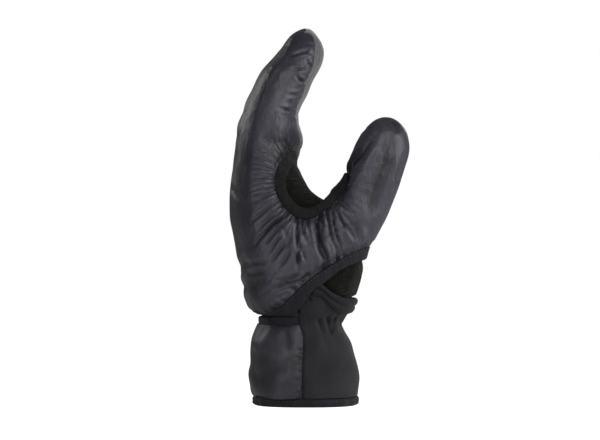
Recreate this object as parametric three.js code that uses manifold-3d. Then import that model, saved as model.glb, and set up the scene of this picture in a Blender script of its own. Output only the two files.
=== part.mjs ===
// A left-hand winter glove with a padded overmitt pulled over its fingers and thumb.
// Millimetres. +Z runs from the hem up to the fingertips, +X is the palm side, -X the back of the hand,
// -Y the thumb side and +Y the little-finger side. The origin is the middle of the hem's opening.

import * as THREE from 'three';
import { LoftGeometry } from 'three/addons/geometries/LoftGeometry.js';
import { mergeVertices } from 'three/addons/utils/BufferGeometryUtils.js';
import Module from 'manifold-3d';

const wasm = await Module();
wasm.setup();

// Wall thicknesses and clearances
const mittPadding = 5; // shell, filling and lining of the overmitt
const gloveWall = 2; // fleece and softshell of the glove
const bandOuter = 1.5; // how far an elastic band lies under the overmitt's outer surface
const bandInner = 4.2;
const pocketLift = 0.5; // the pocket panel lies over the cuff
const pocketThickness = 2.4;
const weltLift = 0.5;
const weltThickness = 2.1;
const seamGap = 0.3;
const thumbClearance = 2.6; // between the glove's thumb and the overmitt's lining

// The cuff
const hemHeight = 6.7;
const hemWall = 4;
const cuffBottom = 7;
const pocketTop = 59.3;
const pocketBandBottom = 59.6;
const pocketBandTop = 64.1;
const pocketEdgeX = - 2.4; // the seam between the pocket panel and the softshell
const weltWidth = 8.2;

// The grip opening in the overmitt: a window across the palm with a rounded far end
const gripMiddle = { x: 3, z: 159.5 };
const gripBandShare = 0.32; // the elastic band's width as a share of the way to the window's middle
const gripFarEnd = 32;
const gripRounding = 24; // how deep the rounded far end is
const gripNearEnd = - 80;
const gripSeamShare = 0.015; // the band's gap to the shell, as a share in the same way

// How far cutters go, past anything that they have to cut
const reach = 150;
const lineEnd = 80; // the side-view lines end at this X on both sides
const overTop = 400;
const underHem = - 50;

const roundness = 2.6; // exponent of the oval outlines: 2 is an ellipse, more is squarer
const lobeBlend = 9; // how softly the thumb's root joins the hand
const halvings = 24; // steps in the search for an outline's radius
const thumbSide = { from: 218, to: 322 }; // degrees round the glove that face the thumb side
const ridgeShare = 0.35; // the ridge beside a fold is this share of its depth
const ridgeAway = 2; // and lies this many widths from its middle

// Level outlines of the overmitt's hand part. back and palm are its limits in X, near and far in Y.
const mittHand = [
	{ z: 56, back: - 35, palm: 28, near: - 39, far: 40 },
	{ z: 64, back: - 36.5, palm: 31, near: - 41, far: 42 },
	{ z: 67, back: - 39.8, palm: 32.5, near: - 43.5, far: 45 },
	{ z: 70, back: - 41.8, palm: 34, near: - 45.4, far: 47.5 },
	{ z: 75, back: - 44, palm: 35.5, near: - 47.2, far: 49.6 },
	{ z: 83, back: - 46.2, palm: 36, near: - 48.8, far: 51.8 },
	{ z: 93, back: - 47.2, palm: 31, near: - 50, far: 53.5 },
	{ z: 110, back: - 50.7, palm: 22, near: - 50.8, far: 55 },
	{ z: 127, back: - 53.6, palm: 15, near: - 51, far: 55.5 },
	{ z: 145, back: - 55.9, palm: 10, near: - 50.5, far: 55.5 },
	{ z: 162, back: - 54.6, palm: - 0.5, near: - 50, far: 55 },
	{ z: 177, back: - 52.3, palm: - 5.6, near: - 49.5, far: 54.5 },
	{ z: 193.5, back: - 50.8, palm: - 3.4, near: - 49, far: 54 },
	{ z: 206, back: - 48.7, palm: - 7.2, near: - 48.4, far: 52.6 },
	{ z: 215, back: - 46.4, palm: - 5, near: - 47.6, far: 51 },
	{ z: 223.5, back: - 42.9, palm: - 0.2, near: - 46.5, far: 49 },
	{ z: 233, back: - 38.2, palm: 4, near: - 45, far: 46.5 },
	{ z: 241, back: - 33.5, palm: 8.6, near: - 43, far: 43.5 },
	{ z: 250, back: - 25.3, palm: 12.4, near: - 38.5, far: 37 },
	{ z: 257, back: - 19.8, palm: 12.8, near: - 33.5, far: 30 },
	{ z: 263, back: - 15.9, palm: 10.8, near: - 28, far: 24 },
	{ z: 268, back: - 10.5, palm: 7.6, near: - 20.5, far: 16 },
	{ z: 271.4, back: - 4, palm: 4.5, near: - 11, far: 7 },
	{ z: 273, back: - 1.9, palm: 2.4, near: - 4.5, far: 2 },
];

// Level outlines of the overmitt round the thumb's root
const mittRoot = [
	{ z: 56, back: - 25, palm: 28, near: - 37, far: 20 },
	{ z: 70, back: - 25, palm: 37, near: - 43, far: 14 },
	{ z: 80, back: - 25, palm: 41, near: - 47, far: 8 },
	{ z: 93, back: - 25, palm: 43.8, near: - 49.5, far: 3 },
	{ z: 103, back: - 25, palm: 44.2, near: - 50.2, far: 1 },
	{ z: 110, back: - 25, palm: 44.6, near: - 50.8, far: - 1 },
	{ z: 119, back: - 25, palm: 47.6, near: - 51, far: - 3 },
	{ z: 127, back: - 24, palm: 50, near: - 51, far: - 5 },
	{ z: 136, back: - 20, palm: 47, near: - 50.5, far: - 6 },
	{ z: 145, back: - 18, palm: 40, near: - 50, far: - 9 },
	{ z: 153, back: - 18, palm: 30, near: - 49, far: - 12 },
	{ z: 160, back: - 18, palm: 18, near: - 48, far: - 14 },
	{ z: 168, back: - 18, palm: 0, near: - 46.5, far: - 18 },
];

// The overmitt's thumb: its middle, its width seen from the side (across) and through it (deep)
const mittThumb = [
	{ x: 6, y: - 27, z: 94, across: 38, deep: 36 },
	{ x: 16.7, y: - 28, z: 112, across: 44, deep: 42 },
	{ x: 27.4, y: - 28.5, z: 127.6, across: 44.5, deep: 44 },
	{ x: 36.2, y: - 29, z: 143.4, across: 43.8, deep: 44 },
	{ x: 43, y: - 29.5, z: 157, across: 41, deep: 43 },
	{ x: 48.8, y: - 30, z: 171, across: 40, deep: 42 },
	{ x: 53.4, y: - 30, z: 182.8, across: 39, deep: 40 },
	{ x: 56.2, y: - 30, z: 192.7, across: 34.5, deep: 35 },
	{ x: 57, y: - 30, z: 199.6, across: 25, deep: 26 },
	{ x: 56.8, y: - 30, z: 204.3, across: 14, deep: 14 },
	{ x: 56.6, y: - 30, z: 206.5, across: 5, deep: 5 },
];

// Level outlines of the glove from the cuff to the roots of the fingers
const gloveHand = [
	{ z: 7, back: - 35.6, palm: 37.5, near: - 44.5, far: 44.5 },
	{ z: 11, back: - 37.7, palm: 37.9, near: - 45, far: 45 },
	{ z: 20, back: - 38.8, palm: 38.6, near: - 45.3, far: 45.3 },
	{ z: 28, back: - 38.5, palm: 37.5, near: - 44.8, far: 44.8 },
	{ z: 37, back: - 37.9, palm: 35, near: - 43.5, far: 43.5 },
	{ z: 45.5, back: - 37.5, palm: 32.2, near: - 41.5, far: 41.5 },
	{ z: 54, back: - 34.1, palm: 27.6, near: - 38, far: 38 },
	{ z: 58.5, back: - 32, palm: 25.2, near: - 36, far: 36 },
	{ z: 62, back: - 31.8, palm: 27, near: - 35.8, far: 36.2 },
	{ z: 69, back: - 33.2, palm: 30.4, near: - 37.4, far: 38.6 },
	{ z: 78, back: - 36, palm: 32, near: - 39.5, far: 42 },
	{ z: 88, back: - 38, palm: 28.5, near: - 41, far: 44 },
	{ z: 98, back: - 40, palm: 22, near: - 42, far: 45.5 },
	{ z: 110, back: - 43, palm: 13, near: - 42.5, far: 46 },
	{ z: 127, back: - 46, palm: 7, near: - 43, far: 46.3 },
	{ z: 145, back: - 47.8, palm: 2.5, near: - 42.5, far: 46.6 },
	{ z: 155, back: - 47.2, palm: - 3, near: - 41, far: 47 },
	{ z: 163, back: - 46, palm: - 8, near: - 40, far: 46 },
	{ z: 170, back: - 42, palm: - 12, near: - 37, far: 42 },
];

// Level outlines of the glove round the thumb's root, and above it the root of the index finger
const gloveRoot = [
	{ z: 60, back: - 20, palm: 14, near: - 27, far: 12 },
	{ z: 69, back: - 20, palm: 29, near: - 37, far: 6 },
	{ z: 78, back: - 20, palm: 34.6, near: - 40.5, far: 0 },
	{ z: 88, back: - 20, palm: 37.6, near: - 42, far: - 3 },
	{ z: 98, back: - 20, palm: 38.8, near: - 42.8, far: - 6 },
	{ z: 110, back: - 18, palm: 37, near: - 43, far: - 10 },
	{ z: 127, back: - 16, palm: 38, near: - 43, far: - 13 },
	{ z: 139, back: - 16, palm: 30, near: - 42.5, far: - 15 },
	{ z: 147, back: - 18, palm: 14, near: - 41.5, far: - 16 },
	{ z: 152, back: - 20, palm: 6.6, near: - 41.2, far: - 13 },
	{ z: 157, back: - 24, palm: 1.8, near: - 40, far: - 9 },
	{ z: 163, back: - 28, palm: - 1.8, near: - 38.6, far: - 6 },
	{ z: 170, back: - 32, palm: - 5.6, near: - 36, far: - 4 },
];

// The fingers bend towards the palm along one curve in side view
const fingerCurve = [
	{ x: - 26, z: 145.5 },
	{ x: - 28.5, z: 165.5 },
	{ x: - 28.8, z: 183.5 },
	{ x: - 27, z: 201.5 },
	{ x: - 22.8, z: 217.5 },
	{ x: - 16.5, z: 231.5 },
	{ x: - 9, z: 244.5 },
	{ x: - 2.5, z: 255.5 },
];
const fingers = [
	{ y: - 31.5, length: 0.88 }, // index
	{ y: - 10.5, length: 1 }, // middle
	{ y: 10.5, length: 0.92 }, // ring
	{ y: 31.5, length: 0.7 }, // little
];
const fingerRootDiameter = 20.2;
const fingerTipDiameter = 16.6;
const fingerGathering = 0.18; // the tips lie closer together than the roots by this share

// Side-view lines of x and z, each used right through the part from its near to its far side
const gripOutline = [
	[ - 22.4, 158 ], [ - 17.4, 145.4 ], [ - 8, 136.4 ], [ 1, 134.3 ], [ 10.5, 138.8 ], [ 20, 146.6 ],
	[ 27, 157 ], [ 26.5, 168 ], [ 10, 181.5 ], [ - 8.5, 182.2 ], [ - 16.5, 176.4 ], [ - 21.2, 168.4 ],
];
const sleeveEdge = [ // where the padded shell meets the elastic band of the overmitt's lower edge
	[ - lineEnd, 68.3 ], [ - 26, 68.3 ], [ - 19.7, 69.1 ], [ - 14.8, 72.2 ], [ - 9.9, 78 ], [ - 5, 84.6 ],
	[ - 0.1, 89.8 ], [ 9.7, 96.9 ], [ 19.5, 103.2 ], [ 29.3, 108.5 ], [ 39, 113 ], [ lineEnd, 129 ],
];
const sleeveHem = [ // the free edge of that band
	[ - lineEnd, 64.4 ], [ - 12, 64.4 ], [ - 8, 66.4 ], [ - 5.5, 71 ], [ - 0.1, 77.7 ], [ 2.8, 82.2 ],
	[ 5.8, 85.7 ], [ 14.6, 91 ], [ 24.4, 98.3 ], [ 34, 102.2 ], [ lineEnd, 118 ],
];
const fingerSeam = [ // the seam between the back of the finger pocket and its palm panel
	[ - 8.4, 174 ], [ - 7.7, 182 ], [ - 7, 191.6 ], [ - 8.6, 201 ], [ - 9.2, 207.3 ], [ - 6.5, 212.3 ],
	[ - 3, 222 ], [ 0.6, 234.5 ], [ 3.4, 243 ], [ 4.4, 257.6 ], [ 5, 266 ], [ 5.6, 290 ],
];
const panelSide = [ [ 22, 290 ], [ 22, 174 ] ]; // closes the panel's cutter between it and the thumb
const palmSeam = [ // where the fleece hand meets the softshell wrist, under the welt
	[ - lineEnd, 86 ], [ 5, 86 ], [ 11, 83.6 ], [ 17, 78.4 ], [ 22, 75 ], [ 27, 73 ], [ 34, 72.6 ],
	[ lineEnd, 72.6 ],
];
const knuckleSeam = [ [ - lineEnd, 150 ], [ lineEnd, 150 ] ]; // where the finger stalls are sewn on
const thumbSeam = [ [ 15, 200 ], [ 15, 128 ], [ 44, 100 ], [ lineEnd, 100 ] ]; // and the thumb stall

// Folds, dents and gathers. The side face is seen with x and z, the back face with y and z.
// A row runs from one end to the other, as wide and deep as it says.
const mittFolds = [
	{ face: 'side', from: [ - 14, 139 ], to: [ - 28, 126 ], width: 2.6, depth: 2.4 },
	{ face: 'side', from: [ - 20, 148 ], to: [ - 38, 135 ], width: 2.8, depth: 2.2 },
	{ face: 'side', from: [ - 22, 158.5 ], to: [ - 36, 158 ], width: 2.6, depth: 1.8 },
	{ face: 'side', from: [ - 20, 168 ], to: [ - 34, 171 ], width: 2.6, depth: 1.5 },
	{ face: 'side', from: [ - 9, 134 ], to: [ - 17, 112 ], width: 2.6, depth: 1.8 },
	{ face: 'side', from: [ - 4, 134 ], to: [ - 6.4, 108 ], width: 2.6, depth: 2.6 },
	{ face: 'side', from: [ - 1, 133 ], to: [ 2, 108 ], width: 2.6, depth: 2.2 },
	{ face: 'side', from: [ 8.4, 136 ], to: [ 13.6, 100 ], width: 3, depth: 3.2 },
	{ face: 'side', from: [ 15.6, 140.4 ], to: [ 23.4, 108 ], width: 2.6, depth: 2.6 },
	{ face: 'side', from: [ 20, 142.3 ], to: [ 28, 122 ], width: 2.6, depth: 2.2 },
	{ face: 'side', from: [ 25, 144.3 ], to: [ 35, 134 ], width: 2.6, depth: 1.8 },
	{ face: 'side', from: [ 31, 128 ], to: [ 36, 119 ], width: 3, depth: 1.8 },
	{ face: 'side', from: [ - 8, 88 ], to: [ - 30, 84 ], width: 3, depth: 1.8 },
	{ face: 'side', from: [ - 30, 104 ], to: [ - 44, 102 ], width: 3, depth: 1.6 },
	{ face: 'side', from: [ - 14, 184 ], to: [ - 22, 193 ], width: 2.6, depth: 1.8 },
	{ face: 'side', from: [ - 8, 210 ], to: [ - 20, 212.5 ], width: 2.8, depth: 2.6 },
	{ face: 'side', from: [ - 4, 222 ], to: [ - 15, 223 ], width: 3, depth: 1.6 },
	{ face: 'side', from: [ 1, 232 ], to: [ - 8, 236 ], width: 2.8, depth: 2 },
	{ face: 'side', from: [ 3, 241 ], to: [ - 12, 241 ], width: 2.8, depth: 1.6 },
	{ face: 'side', from: [ 4, 252 ], to: [ - 12, 247 ], width: 2.8, depth: 1.4 },
	{ face: 'side', from: [ 27, 166 ], to: [ 43, 186 ], width: 4, depth: 2 },
	{ face: 'side', from: [ 50, 148 ], to: [ 57, 174 ], width: 5, depth: 1.2 },
	{ face: 'back', from: [ - 30, 209 ], to: [ 34, 213 ], width: 4.5, depth: 1.4 },
	{ face: 'back', from: [ - 34, 103 ], to: [ 30, 98 ], width: 4.5, depth: 1.6 },
	{ face: 'back', from: [ - 20, 85 ], to: [ 38, 87 ], width: 4, depth: 1.4 },
];
const cuffFolds = [
	{ face: 'side', from: [ 8.5, 67 ], to: [ 12, 53 ], width: 2.4, depth: 1.2 },
	{ face: 'side', from: [ 14, 65 ], to: [ 17.5, 49 ], width: 2.4, depth: 1.5 },
	{ face: 'side', from: [ 21, 64 ], to: [ 19, 50 ], width: 2.4, depth: 1.5 },
	{ face: 'side', from: [ - 13, 57 ], to: [ - 12, 36 ], width: 3.4, depth: 1.4 },
	{ face: 'side', from: [ - 26, 57 ], to: [ - 29, 28 ], width: 4.4, depth: 1.2 },
	{ face: 'back', from: [ - 12, 56 ], to: [ - 16, 24 ], width: 5, depth: 1.4 },
	{ face: 'back', from: [ 16, 56 ], to: [ 14, 28 ], width: 5, depth: 1.4 },
];

// Tables

const limits = [ 'back', 'palm', 'near', 'far' ];

// A function of a table's key column that gives its other columns, smoothly between the rows.
function smoothTable( rows, key, columns ) {

	const keys = rows.map( row => row[ key ] );
	const values = rows.flatMap( row => columns.map( column => row[ column ] ) );
	const spline = new THREE.CubicInterpolant( keys, values, columns.length );

	return at => {

		const found = spline.evaluate( at );
		return Object.fromEntries( columns.map( ( column, i ) => [ column, found[ i ] ] ) );

	};

}

// Outlines

// About how far a point lies outside an oval, negative inside it.
function outsideOval( oval, x, y ) {

	const halfX = ( oval.palm - oval.back ) / 2;
	const halfY = ( oval.far - oval.near ) / 2;
	const u = Math.abs( x - ( oval.palm + oval.back ) / 2 ) / halfX;
	const v = Math.abs( y - ( oval.far + oval.near ) / 2 ) / halfY;
	const size = Math.pow( Math.pow( u, roundness ) + Math.pow( v, roundness ), 1 / roundness );
	return ( size - 1 ) * Math.min( halfX, halfY );

}

function softMinimum( a, b, softness ) {

	const overlap = Math.max( softness - Math.abs( a - b ), 0 ) / softness;
	return Math.min( a, b ) - overlap * overlap * softness / 4;

}

function shrink( oval, inset ) {

	return {
		back: oval.back + inset, palm: oval.palm - inset,
		near: oval.near + inset, far: oval.far - inset,
	};

}

// The distance from a middle point out to the joined outline of several ovals.
function outlineRadius( ovals, middle, angle ) {

	let inside = 0;
	let outside = reach;
	const dx = Math.cos( angle );
	const dy = Math.sin( angle );

	for ( let i = 0; i < halvings; i ++ ) {

		const radius = ( inside + outside ) / 2;
		const apart = ovals
			.map( oval => outsideOval( oval, middle.x + dx * radius, middle.y + dy * radius ) )
			.reduce( ( a, b ) => softMinimum( a, b, lobeBlend ) );
		if ( apart < 0 ) inside = radius;
		else outside = radius;

	}

	return ( inside + outside ) / 2;

}

// Angles round a level outline, closer together on the thumb side, where the gathers are.
function roundAngles( sideCount, restCount ) {

	const sideFrom = THREE.MathUtils.degToRad( thumbSide.from );
	const sideTo = THREE.MathUtils.degToRad( thumbSide.to );
	const rest = 2 * Math.PI - ( sideTo - sideFrom );
	const side = Array.from( { length: sideCount }, ( _, i ) => sideFrom + ( sideTo - sideFrom ) * i / sideCount );
	const others = Array.from( { length: restCount }, ( _, i ) => sideTo + rest * i / restCount );
	return [ ...side, ...others ];

}

// How deep the folds of a table press in the surface at a point that faces a given way.
function foldDepth( folds, point, facing ) {

	let depth = 0;

	for ( const fold of folds ) {

		const onSide = fold.face === 'side';
		const faces = THREE.MathUtils.smoothstep( onSide ? - facing.y : - facing.x, 0.3, 0.75 );
		if ( faces === 0 ) continue;

		const from = new THREE.Vector2( ...fold.from );
		const along = new THREE.Vector2( ...fold.to ).sub( from );
		const here = new THREE.Vector2( onSide ? point.x : point.y, point.z ).sub( from );
		const share = THREE.MathUtils.clamp( here.dot( along ) / along.lengthSq(), 0, 1 );
		const away = here.sub( along.multiplyScalar( share ) ).length() / fold.width;
		const ridge = ridgeShare * Math.exp( - ( away - ridgeAway ) * ( away - ridgeAway ) );
		const groove = Math.exp( - away * away ) - ridge;
		const fade = Math.sin( Math.PI * THREE.MathUtils.lerp( 0.22, 1, share ) );
		depth += fold.depth * groove * fade * faces;

	}

	return depth;

}

// Solids

function solidOf( geometry ) {

	const bare = new THREE.BufferGeometry();
	bare.setAttribute( 'position', geometry.getAttribute( 'position' ) );
	bare.setIndex( geometry.getIndex() );
	const closed = mergeVertices( bare, 1e-4 );
	return new wasm.Manifold( new wasm.Mesh( {
		numProp: 3,
		vertProperties: closed.attributes.position.array,
		triVerts: new Uint32Array( closed.index.array ),
	} ) );

}

function loftOf( rings ) {

	return solidOf( new LoftGeometry( rings, { capStart: true, capEnd: true } ) );

}

// A solid of level outlines: one or more tables of ovals joined softly, pressed in by its folds.
function levelSolid( { tables, heights, angles, middleOf, inset = 0, folds = [] } ) {

	const ovalsAt = tables.map( rows => ( {
		bottom: rows[ 0 ].z,
		top: rows[ rows.length - 1 ].z,
		at: smoothTable( rows, 'z', limits ),
	} ) );

	const rings = heights.map( z => {

		const middle = middleOf( z );
		const ovals = ovalsAt
			.filter( table => z >= table.bottom && z <= table.top )
			.map( table => shrink( table.at( z ), inset ) );

		return angles.map( angle => {

			const facing = new THREE.Vector3( Math.cos( angle ), Math.sin( angle ), 0 );
			const radius = outlineRadius( ovals, middle, angle );
			const point = new THREE.Vector3( middle.x, middle.y, z ).addScaledVector( facing, radius );
			return point.addScaledVector( facing, - foldDepth( folds, point, facing ) );

		} );

	} );

	return loftOf( rings );

}

// A tapering limb, such as a finger or thumb, of oval rings square to its middle line.
function limbSolid( { rows, rowCount, pointCount, inset = 0, folds = [], to = 1 } ) {

	const line = new THREE.CatmullRomCurve3( rows.map( row => new THREE.Vector3( row.x, row.y, row.z ) ) );
	const sizeAt = smoothTable( rows.map( ( row, i ) => ( { ...row, i } ) ), 'i', [ 'across', 'deep' ] );
	const level = new THREE.Vector3( 0, 1, 0 );

	const rings = Array.from( { length: rowCount + 1 }, ( _, i ) => {

		const share = to * i / rowCount;
		const size = sizeAt( share * ( rows.length - 1 ) );
		const middle = line.getPoint( share );
		const tangent = line.getTangent( share ).setY( 0 ).normalize();
		const outward = new THREE.Vector3().crossVectors( level, tangent );

		return Array.from( { length: pointCount }, ( _, j ) => {

			const angle = 2 * Math.PI * j / pointCount;
			const facing = new THREE.Vector3()
				.addScaledVector( outward, Math.cos( angle ) )
				.addScaledVector( level, Math.sin( angle ) );
			const point = middle.clone()
				.addScaledVector( outward, ( size.across / 2 - inset ) * Math.cos( angle ) )
				.addScaledVector( level, ( size.deep / 2 - inset ) * Math.sin( angle ) );
			return point.addScaledVector( facing, - foldDepth( folds, point, facing ) );

		} );

	} );

	return loftOf( rings );

}

function evenSteps( from, to, step ) {

	const count = Math.round( ( to - from ) / step );
	return Array.from( { length: count + 1 }, ( _, i ) => from + ( to - from ) * i / count );

}

// Cutters

// A side-view outline of x and z pushed through the whole part from side to side.
function sideCutter( points ) {

	const shape = new THREE.Shape( points.map( ( [ x, z ] ) => new THREE.Vector2( x, z ) ) );
	const geometry = new THREE.ExtrudeGeometry( shape, { depth: 2 * reach, bevelEnabled: false } );
	geometry.rotateX( Math.PI / 2 ).translate( 0, reach, 0 );
	return solidOf( geometry );

}

function shiftLine( line, dx, dz ) {

	return line.map( ( [ x, z ] ) => [ x + dx, z + dz ] );

}

// Everything above a line that runs from the back to the palm side, or everything below it.
function above( line, lift = 0 ) {

	return sideCutter( [ ...shiftLine( line, 0, lift ), [ lineEnd, overTop ], [ - lineEnd, overTop ] ] );

}

function below( line, drop = 0 ) {

	return sideCutter( [ ...shiftLine( line, 0, - drop ), [ lineEnd, underHem ], [ - lineEnd, underHem ] ] );

}

// Everything on the palm side of a line that runs upwards.
function palmSideOf( line, shift = 0 ) {

	return sideCutter( [ ...shiftLine( line, shift, 0 ), ...panelSide ] );

}

// The back half of the cuff, up to the pocket's seam, between two heights.
function pocketSlab( bottom, top ) {

	return sideCutter( [
		[ - lineEnd, bottom ], [ pocketEdgeX, bottom ],
		[ pocketEdgeX, top ], [ - lineEnd, top ],
	] );

}

// The grip opening's window, as large as share says, with its far end rounded off.
function gripCutter( share ) {

	const corners = gripOutline.map( ( [ x, z ] ) => new THREE.Vector3( x, 0, z ) );
	const outline = new THREE.CatmullRomCurve3( corners.reverse(), true ).getPoints( 21 ).slice( 0, - 1 );
	const middle = new THREE.Vector3( gripMiddle.x, 0, gripMiddle.z );
	const farEnd = gripFarEnd - ( 1 - share ) * gripRounding;
	const rings = [ { y: gripNearEnd, size: 1 } ];

	for ( const turn of [ 0, 30, 55, 75 ] ) {

		const angle = THREE.MathUtils.degToRad( turn );
		rings.push( { y: farEnd - gripRounding * ( 1 - Math.sin( angle ) ), size: Math.cos( angle ) } );

	}

	return loftOf( rings.map( ring => outline.map( point => point.clone()
		.lerp( middle, 1 - share * ring.size )
		.setY( ring.y ) ) ) );

}

// The overmitt

const mittMiddle = smoothTable( [
	{ z: 56, x: - 5, y: - 8 },
	{ z: 108, x: - 8, y: - 14 },
	{ z: 147, x: - 12, y: - 18 },
	{ z: 168, x: - 28, y: 2 },
	{ z: 223.5, x: - 21.7, y: 1 },
	{ z: 257, x: - 4, y: - 1.5 },
	{ z: 273, x: 0.2, y: - 1.2 },
], 'z', [ 'x', 'y' ] );

function mittForm( { inset = 0, sideCount, restCount, step, thumbRows, thumbPoints, folds = [] } ) {

	const bottom = mittHand[ 0 ].z;
	const top = mittHand[ mittHand.length - 1 ].z;
	const tip = [ 10.5, 6, 3, 1.3, 0 ].map( drop => top - drop );
	const hand = levelSolid( {
		tables: [ mittHand, mittRoot ],
		heights: [ ...evenSteps( bottom, top - 16, step ), ...tip ].filter( z => z <= top - 1.7 * inset ),
		angles: roundAngles( sideCount, restCount ),
		middleOf: mittMiddle,
		inset,
		folds,
	} );
	const thumb = limbSolid( {
		rows: mittThumb,
		rowCount: thumbRows,
		pointCount: thumbPoints,
		inset,
		folds,
		to: inset === 0 ? 1 : 0.8 - 0.012 * inset,
	} );
	return hand.add( thumb );

}

const mittOuter = mittForm( {
	sideCount: 24, restCount: 12, step: 8.3, thumbRows: 11, thumbPoints: 16, folds: mittFolds,
} );
const plainForm = { sideCount: 9, restCount: 11, step: 13, thumbRows: 7, thumbPoints: 12 };
const mittLining = mittForm( { ...plainForm, inset: mittPadding } );

function overmittShell() {

	return mittOuter.subtract( mittLining )
		.subtract( gripCutter( 1 ) )
		.intersect( above( sleeveEdge ) );

}

function bandWall() {

	const outer = mittForm( { ...plainForm, inset: bandOuter } );
	return outer.subtract( mittForm( { ...plainForm, inset: bandInner } ) );

}

function gripBand() {

	return bandWall()
		.intersect( gripCutter( 1 - gripSeamShare ) )
		.subtract( gripCutter( 1 - gripBandShare ) );

}

function sleeveBand() {

	return bandWall().intersect( below( sleeveEdge, seamGap ) ).intersect( above( sleeveHem ) );

}

// The glove

const gloveMiddle = smoothTable( [
	{ z: 0, x: 0, y: 0 },
	{ z: 58, x: - 4, y: - 5 },
	{ z: 108, x: - 8, y: - 14 },
	{ z: 147, x: - 10, y: - 20 },
	{ z: 170, x: - 26, y: - 8 },
], 'z', [ 'x', 'y' ] );
const gloveHeights = gloveHand.map( row => row.z );
const gloveAngles = roundAngles( 13, 13 );

function gloveBody( { inset = 0, heights, folds = [] } ) {

	return levelSolid( {
		tables: [ gloveHand, gloveRoot ],
		heights,
		angles: gloveAngles,
		middleOf: gloveMiddle,
		inset,
		folds,
	} );

}

// A finger tapers along the curve and closes in a dome about one radius long.
function fingerSolid( finger, inset ) {

	const line = new THREE.CatmullRomCurve3( fingerCurve.map( ( { x, z }, i ) => {

		const gathering = 1 - fingerGathering * i / ( fingerCurve.length - 1 );
		return new THREE.Vector3( x, finger.y * gathering, z );

	} ) );
	const stations = [ 0, 0.3, 0.6, 0.91 ].map( share => ( { share, closing: 1 } ) );
	stations.push( { share: 0.97, closing: 0.72 }, { share: 1, closing: 0.3 } );

	const rows = stations.map( ( { share, closing } ) => {

		const { x, y, z } = line.getPoint( share * finger.length );
		const diameter = closing * THREE.MathUtils.lerp( fingerRootDiameter, fingerTipDiameter, share );
		return { x, y, z, across: diameter, deep: diameter };

	} );
	const to = inset === 0 ? 1 : 0.86;

	return limbSolid( { rows, rowCount: rows.length - 1, pointCount: 8, inset, to } );

}

function gloveForm( inset, folds ) {

	const top = gloveHeights[ gloveHeights.length - 1 ] - inset;
	const body = gloveBody( {
		inset,
		heights: [ ...gloveHeights.filter( z => z < top ), top ],
		folds,
	} );
	const thumb = limbSolid( {
		rows: mittThumb,
		rowCount: 6,
		pointCount: 10,
		inset: mittPadding + thumbClearance + inset,
		to: 0.72 - 0.012 * inset,
	} );
	return fingers
		.map( finger => fingerSolid( finger, inset ) )
		.reduce( ( hand, finger ) => hand.add( finger ), body.add( thumb ) );

}

// The hollow goes on below the cuff's bottom edge, so that the cuff is open there.
function cuffMouth() {

	return levelSolid( {
		tables: [ [ { ...gloveHand[ 0 ], z: cuffBottom - 5 }, ...gloveHand ] ],
		heights: [ cuffBottom - 5, ...gloveHeights.slice( 0, 3 ) ],
		angles: gloveAngles,
		middleOf: gloveMiddle,
		inset: gloveWall,
	} );

}

const gloveOuter = gloveForm( 0, cuffFolds );
const gloveInner = gloveForm( gloveWall, cuffFolds ).add( cuffMouth() );
const gloveWalls = gloveOuter.subtract( gloveInner );

const fleece = gloveWalls.intersect( above( palmSeam, seamGap / 2 ) );

// Everything between the thumb's seam and the palm side.
function pastThumbSeam( shift ) {

	return sideCutter( [ ...shiftLine( thumbSeam, shift, shift ), [ lineEnd, thumbSeam[ 0 ][ 1 ] ] ] );

}

function thumbStall() {

	return fleece.intersect( pastThumbSeam( seamGap / 2 ) );

}

const fleeceWithoutThumb = fleece.subtract( pastThumbSeam( - seamGap / 2 ) );

function fingerStalls() {

	return fleeceWithoutThumb.intersect( above( knuckleSeam, seamGap / 2 ) );

}

function fleeceHand() {

	return fleeceWithoutThumb.intersect( below( knuckleSeam, seamGap / 2 ) );

}

function softshellWrist() {

	return gloveWalls.intersect( below( palmSeam, seamGap / 2 ) );

}

// A layer that lies over the glove's wrist and heel and follows their folds.
function overGlove( lift, thickness ) {

	const form = { heights: gloveHeights.filter( z => z < 120 ), folds: cuffFolds };
	return gloveBody( { ...form, inset: - lift - thickness } ).subtract( gloveBody( { ...form, inset: - lift } ) );

}

function palmWelt() {

	const palmPart = palmSeam.filter( ( [ x ] ) => x > 0 );
	const strip = sideCutter( [
		...shiftLine( palmPart, 0, - weltWidth / 2 ),
		...shiftLine( palmPart, 0, weltWidth / 2 ).reverse(),
	] );
	return overGlove( weltLift, weltThickness )
		.intersect( strip )
		.intersect( below( sleeveHem, seamGap ) );

}

// The cuff

function pocketPanel() {

	return overGlove( pocketLift, pocketThickness )
		.intersect( pocketSlab( cuffBottom, pocketTop ) );

}

function pocketBand() {

	return overGlove( pocketLift, pocketThickness )
		.intersect( pocketSlab( pocketBandBottom, pocketBandTop ) );

}

function hemBand() {

	const hem = [
		{ z: - 2, back: - 37, palm: 36.4, near: - 44.2, far: 44.2 },
		{ z: 0, back: - 37.4, palm: 36.8, near: - 44.6, far: 44.6 },
		{ z: 1.6, back: - 38.4, palm: 37.8, near: - 45.6, far: 45.6 },
		{ z: 5, back: - 38.6, palm: 38.1, near: - 45.8, far: 45.8 },
		{ z: hemHeight, back: - 38, palm: 37.6, near: - 45, far: 45 },
		{ z: 9, back: - 38, palm: 37.5, near: - 45, far: 45 },
	];
	const form = { tables: [ hem ], angles: roundAngles( 10, 13 ), middleOf: gloveMiddle };
	const heights = hem.map( row => row.z );
	const outer = levelSolid( { ...form, heights: heights.slice( 1, - 1 ) } );
	return outer.subtract( levelSolid( { ...form, heights: [ heights[ 0 ], heights[ 5 ] ], inset: hemWall } ) );

}

// The assembly

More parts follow.
